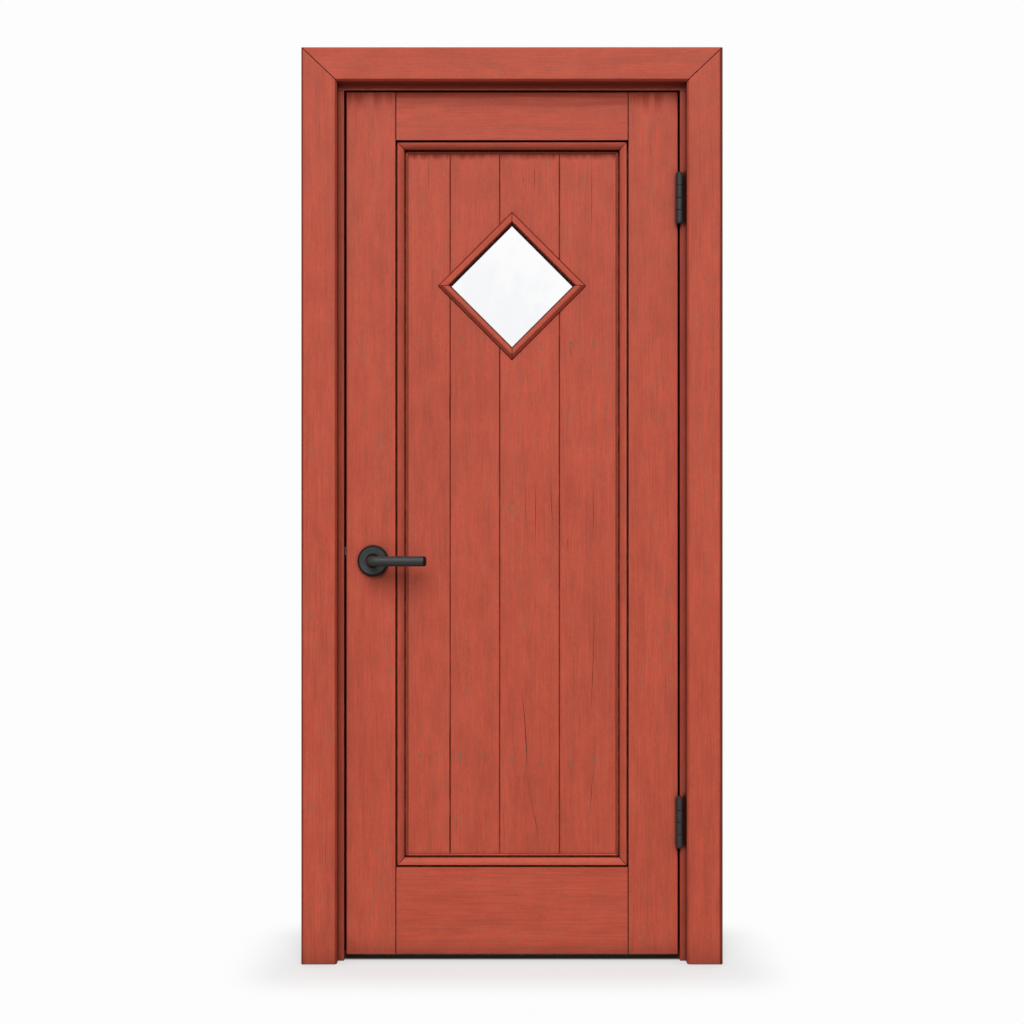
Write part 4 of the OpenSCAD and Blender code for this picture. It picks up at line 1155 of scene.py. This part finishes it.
def set_floor(stage):
    """A pale floor that keeps real and painted shadow close to the door, is white further off and painted dark
    under the leaf.
    """
    deselect()
    bpy.ops.mesh.primitive_plane_add(size=FLOOR_SIDE, location=(0.0, 0.0, 0.0))
    floor = bpy.context.object
    floor.name = "Studio_floor"
    g = new_graph("studio_floor_finish")
    apart = g.axes()
    seen = seen_directly(g)
    half_width, half_depth = CAD_BOX[1][0], CAD_BOX[1][1]
    sideways, deep = g.math("ABSOLUTE", apart["X"]), g.math("ABSOLUTE", apart["Y"])

    is_open = g.openness(SHADOW_REACH, samples=8)
    ahead = g.span(apart["Y"], LEAF_FACE + 18 * MM, LEAF_FACE + 2 * MM)
    behind = g.span(apart["Y"], LEAF_BACK + 30 * MM, LEAF_BACK + 45 * MM)
    aside = g.span(sideways, half_width - 80 * MM, half_width - 60 * MM)
    by_jamb = g.span(sideways, half_width - 150 * MM, half_width - 110 * MM, 0.0, 0.10)
    uncovered = g.span(g.math("ADD", is_open, by_jamb), 0.62, 0.86)
    clear = g.math("MAXIMUM", ahead, behind, aside, uncovered)

    # Painted shadow where the floor is closed in, and painted shade under the leaf.
    shade = g.mix(g.span(is_open, 0.40, 0.95), SHADOW, stage.floor)
    shade = g.mix(clear, UNDER_LEAF_SHADE, shade)
    matt = g.node("ShaderNodeBsdfDiffuse", {"Color": g.mix(seen, stage.floor_bounce, shade)})
    glow = g.node("ShaderNodeEmission", {"Color": WHITE, "Strength": 1.0})
    beside = [
        g.math("MAXIMUM", g.math("SUBTRACT", place, half), 0.0)
        for place, half in ((sideways, half_width), (deep, half_depth))
    ]
    away = g.length(g.node("ShaderNodeCombineXYZ", {0: beside[0], 1: beside[1]}).outputs[0])
    share = g.math("MULTIPLY", seen, clear, g.span(away, 0.0, 0.18, 0.55, 0.99))
    both = g.node("ShaderNodeMixShader", {0: share, 1: matt.outputs[0], 2: glow.outputs[0]})
    g.node("ShaderNodeOutputMaterial", {"Surface": both.outputs[0]})
    floor.data.materials.append(g.owner)


def set_world(scene, stage):
    """White where it is seen directly, and otherwise a soft light that is stronger behind the door."""
    scene.world = bpy.data.worlds.new("Studio")
    g = Graph(scene.world)
    way = g.node("ShaderNodeTexCoord").outputs["Generated"]
    light = g.node("ShaderNodeMapRange", {
        "Value": g.node("ShaderNodeSeparateXYZ", {0: way}).outputs["Y"],
        "From Min": 0.0,
        "From Max": 0.4,
        "To Min": stage.ambient,
        "To Max": stage.rear_ambient,
    })
    level = g.node(
        "ShaderNodeMapRange", {"Value": seen_directly(g), "To Min": light.outputs["Result"], "To Max": 1.0}
    )
    background = g.node("ShaderNodeBackground", {"Color": WHITE, "Strength": level.outputs["Result"]})
    g.node("ShaderNodeOutputWorld", {"Surface": background.outputs[0]})


def add_light(name, kind, energy, place, turn, **settings):
    deselect()
    bpy.ops.object.light_add(type=kind, location=place)
    lamp = bpy.context.object
    lamp.name = name
    lamp.data.energy = energy
    for key, value in settings.items():
        setattr(lamp.data, key, value)
    lamp.rotation_euler = turn


class BOARDED_DOOR_OT_stage(bpy.types.Operator):
    """Set the floor, the light and the camera."""

    bl_idname = "boarded_door.stage"
    bl_label = "Set Stage"
    bl_options = {"REGISTER", "UNDO"}

    def execute(self, context):
        stage = context.scene.boarded_door_stage
        context.scene.view_settings.view_transform = "Standard"
        set_floor(stage)
        set_world(context.scene, stage)
        key_turn = (math.radians(90) - stage.key_height, 0.0, 0.0)
        add_light("Key_light", "SUN", stage.key_strength, (0.0, -4.0, 6.0), key_turn, angle=stage.key_spread)
        fill_place, fill_aim = Vector((-4.5, -4.0, 2.0)), Vector((0.0, 0.0, 1.0))
        fill_turn = (fill_aim - fill_place).to_track_quat("-Z", "Y").to_euler()
        add_light("Fill_light", "AREA", stage.fill_power, fill_place, fill_turn, size=3.0)
        deselect()
        bpy.ops.object.camera_add(
            location=(0.0, LEAF_FACE - stage.camera_distance, stage.camera_height),
            rotation=(math.radians(90), 0.0, 0.0),
        )
        camera = context.object
        camera.name = "Photo_camera"
        camera.data.sensor_width = 36.0
        camera.data.lens = stage.lens
        context.scene.camera = camera
        return {"FINISHED"}


# Add-on


OPERATORS = (
    BOARDED_DOOR_OT_lining,
    BOARDED_DOOR_OT_casings,
    BOARDED_DOOR_OT_leaf_frame,
    BOARDED_DOOR_OT_boards,
    BOARDED_DOOR_OT_mouldings,
    BOARDED_DOOR_OT_glass,
    BOARDED_DOOR_OT_hinges,
    BOARDED_DOOR_OT_handles,
    BOARDED_DOOR_OT_latch,
    BOARDED_DOOR_OT_fasteners,
    BOARDED_DOOR_OT_stage,
)

GROUPS = (
    ("boarded_door_paint", BoardedDoorPaint),
    ("boarded_door_metal", BoardedDoorMetal),
    ("boarded_door_stage", BoardedDoorStage),
)


class BOARDED_DOOR_PT_panel(bpy.types.Panel):
    """Settings and steps of the boarded door."""

    bl_idname = "BOARDED_DOOR_PT_panel"
    bl_label = "Boarded Door"
    bl_space_type = "VIEW_3D"
    bl_region_type = "UI"
    bl_category = "Boarded Door"

    def draw(self, context):
        for operator in OPERATORS:
            self.layout.operator(operator.bl_idname)
        for name, _ in GROUPS:
            values = getattr(context.scene, name)
            box = self.layout.box()
            for key in values.bl_rna.properties.keys():
                if key not in ("rna_type", "name"):
                    box.prop(values, key)


def register():
    for _, group in GROUPS:
        bpy.utils.register_class(group)
    for operator in OPERATORS:
        bpy.utils.register_class(operator)
    bpy.utils.register_class(BOARDED_DOOR_PT_panel)
    for name, group in GROUPS:
        setattr(bpy.types.Scene, name, bpy.props.PointerProperty(type=group))


def unregister():
    for name, _ in GROUPS:
        delattr(bpy.types.Scene, name)
    bpy.utils.unregister_class(BOARDED_DOOR_PT_panel)
    for operator in reversed(OPERATORS):
        bpy.utils.unregister_class(operator)
    for _, group in reversed(GROUPS):
        bpy.utils.unregister_class(group)


def main():
    register()
    bpy.ops.boarded_door.lining()
    bpy.ops.boarded_door.casings()
    bpy.ops.boarded_door.leaf_frame()
    bpy.ops.boarded_door.boards()
    bpy.ops.boarded_door.mouldings()
    bpy.ops.boarded_door.glass()
    bpy.ops.boarded_door.hinges()
    bpy.ops.boarded_door.handles()
    bpy.ops.boarded_door.latch()
    bpy.ops.boarded_door.fasteners()
    bpy.ops.boarded_door.stage()


if __name__ == "__main__":
    main()
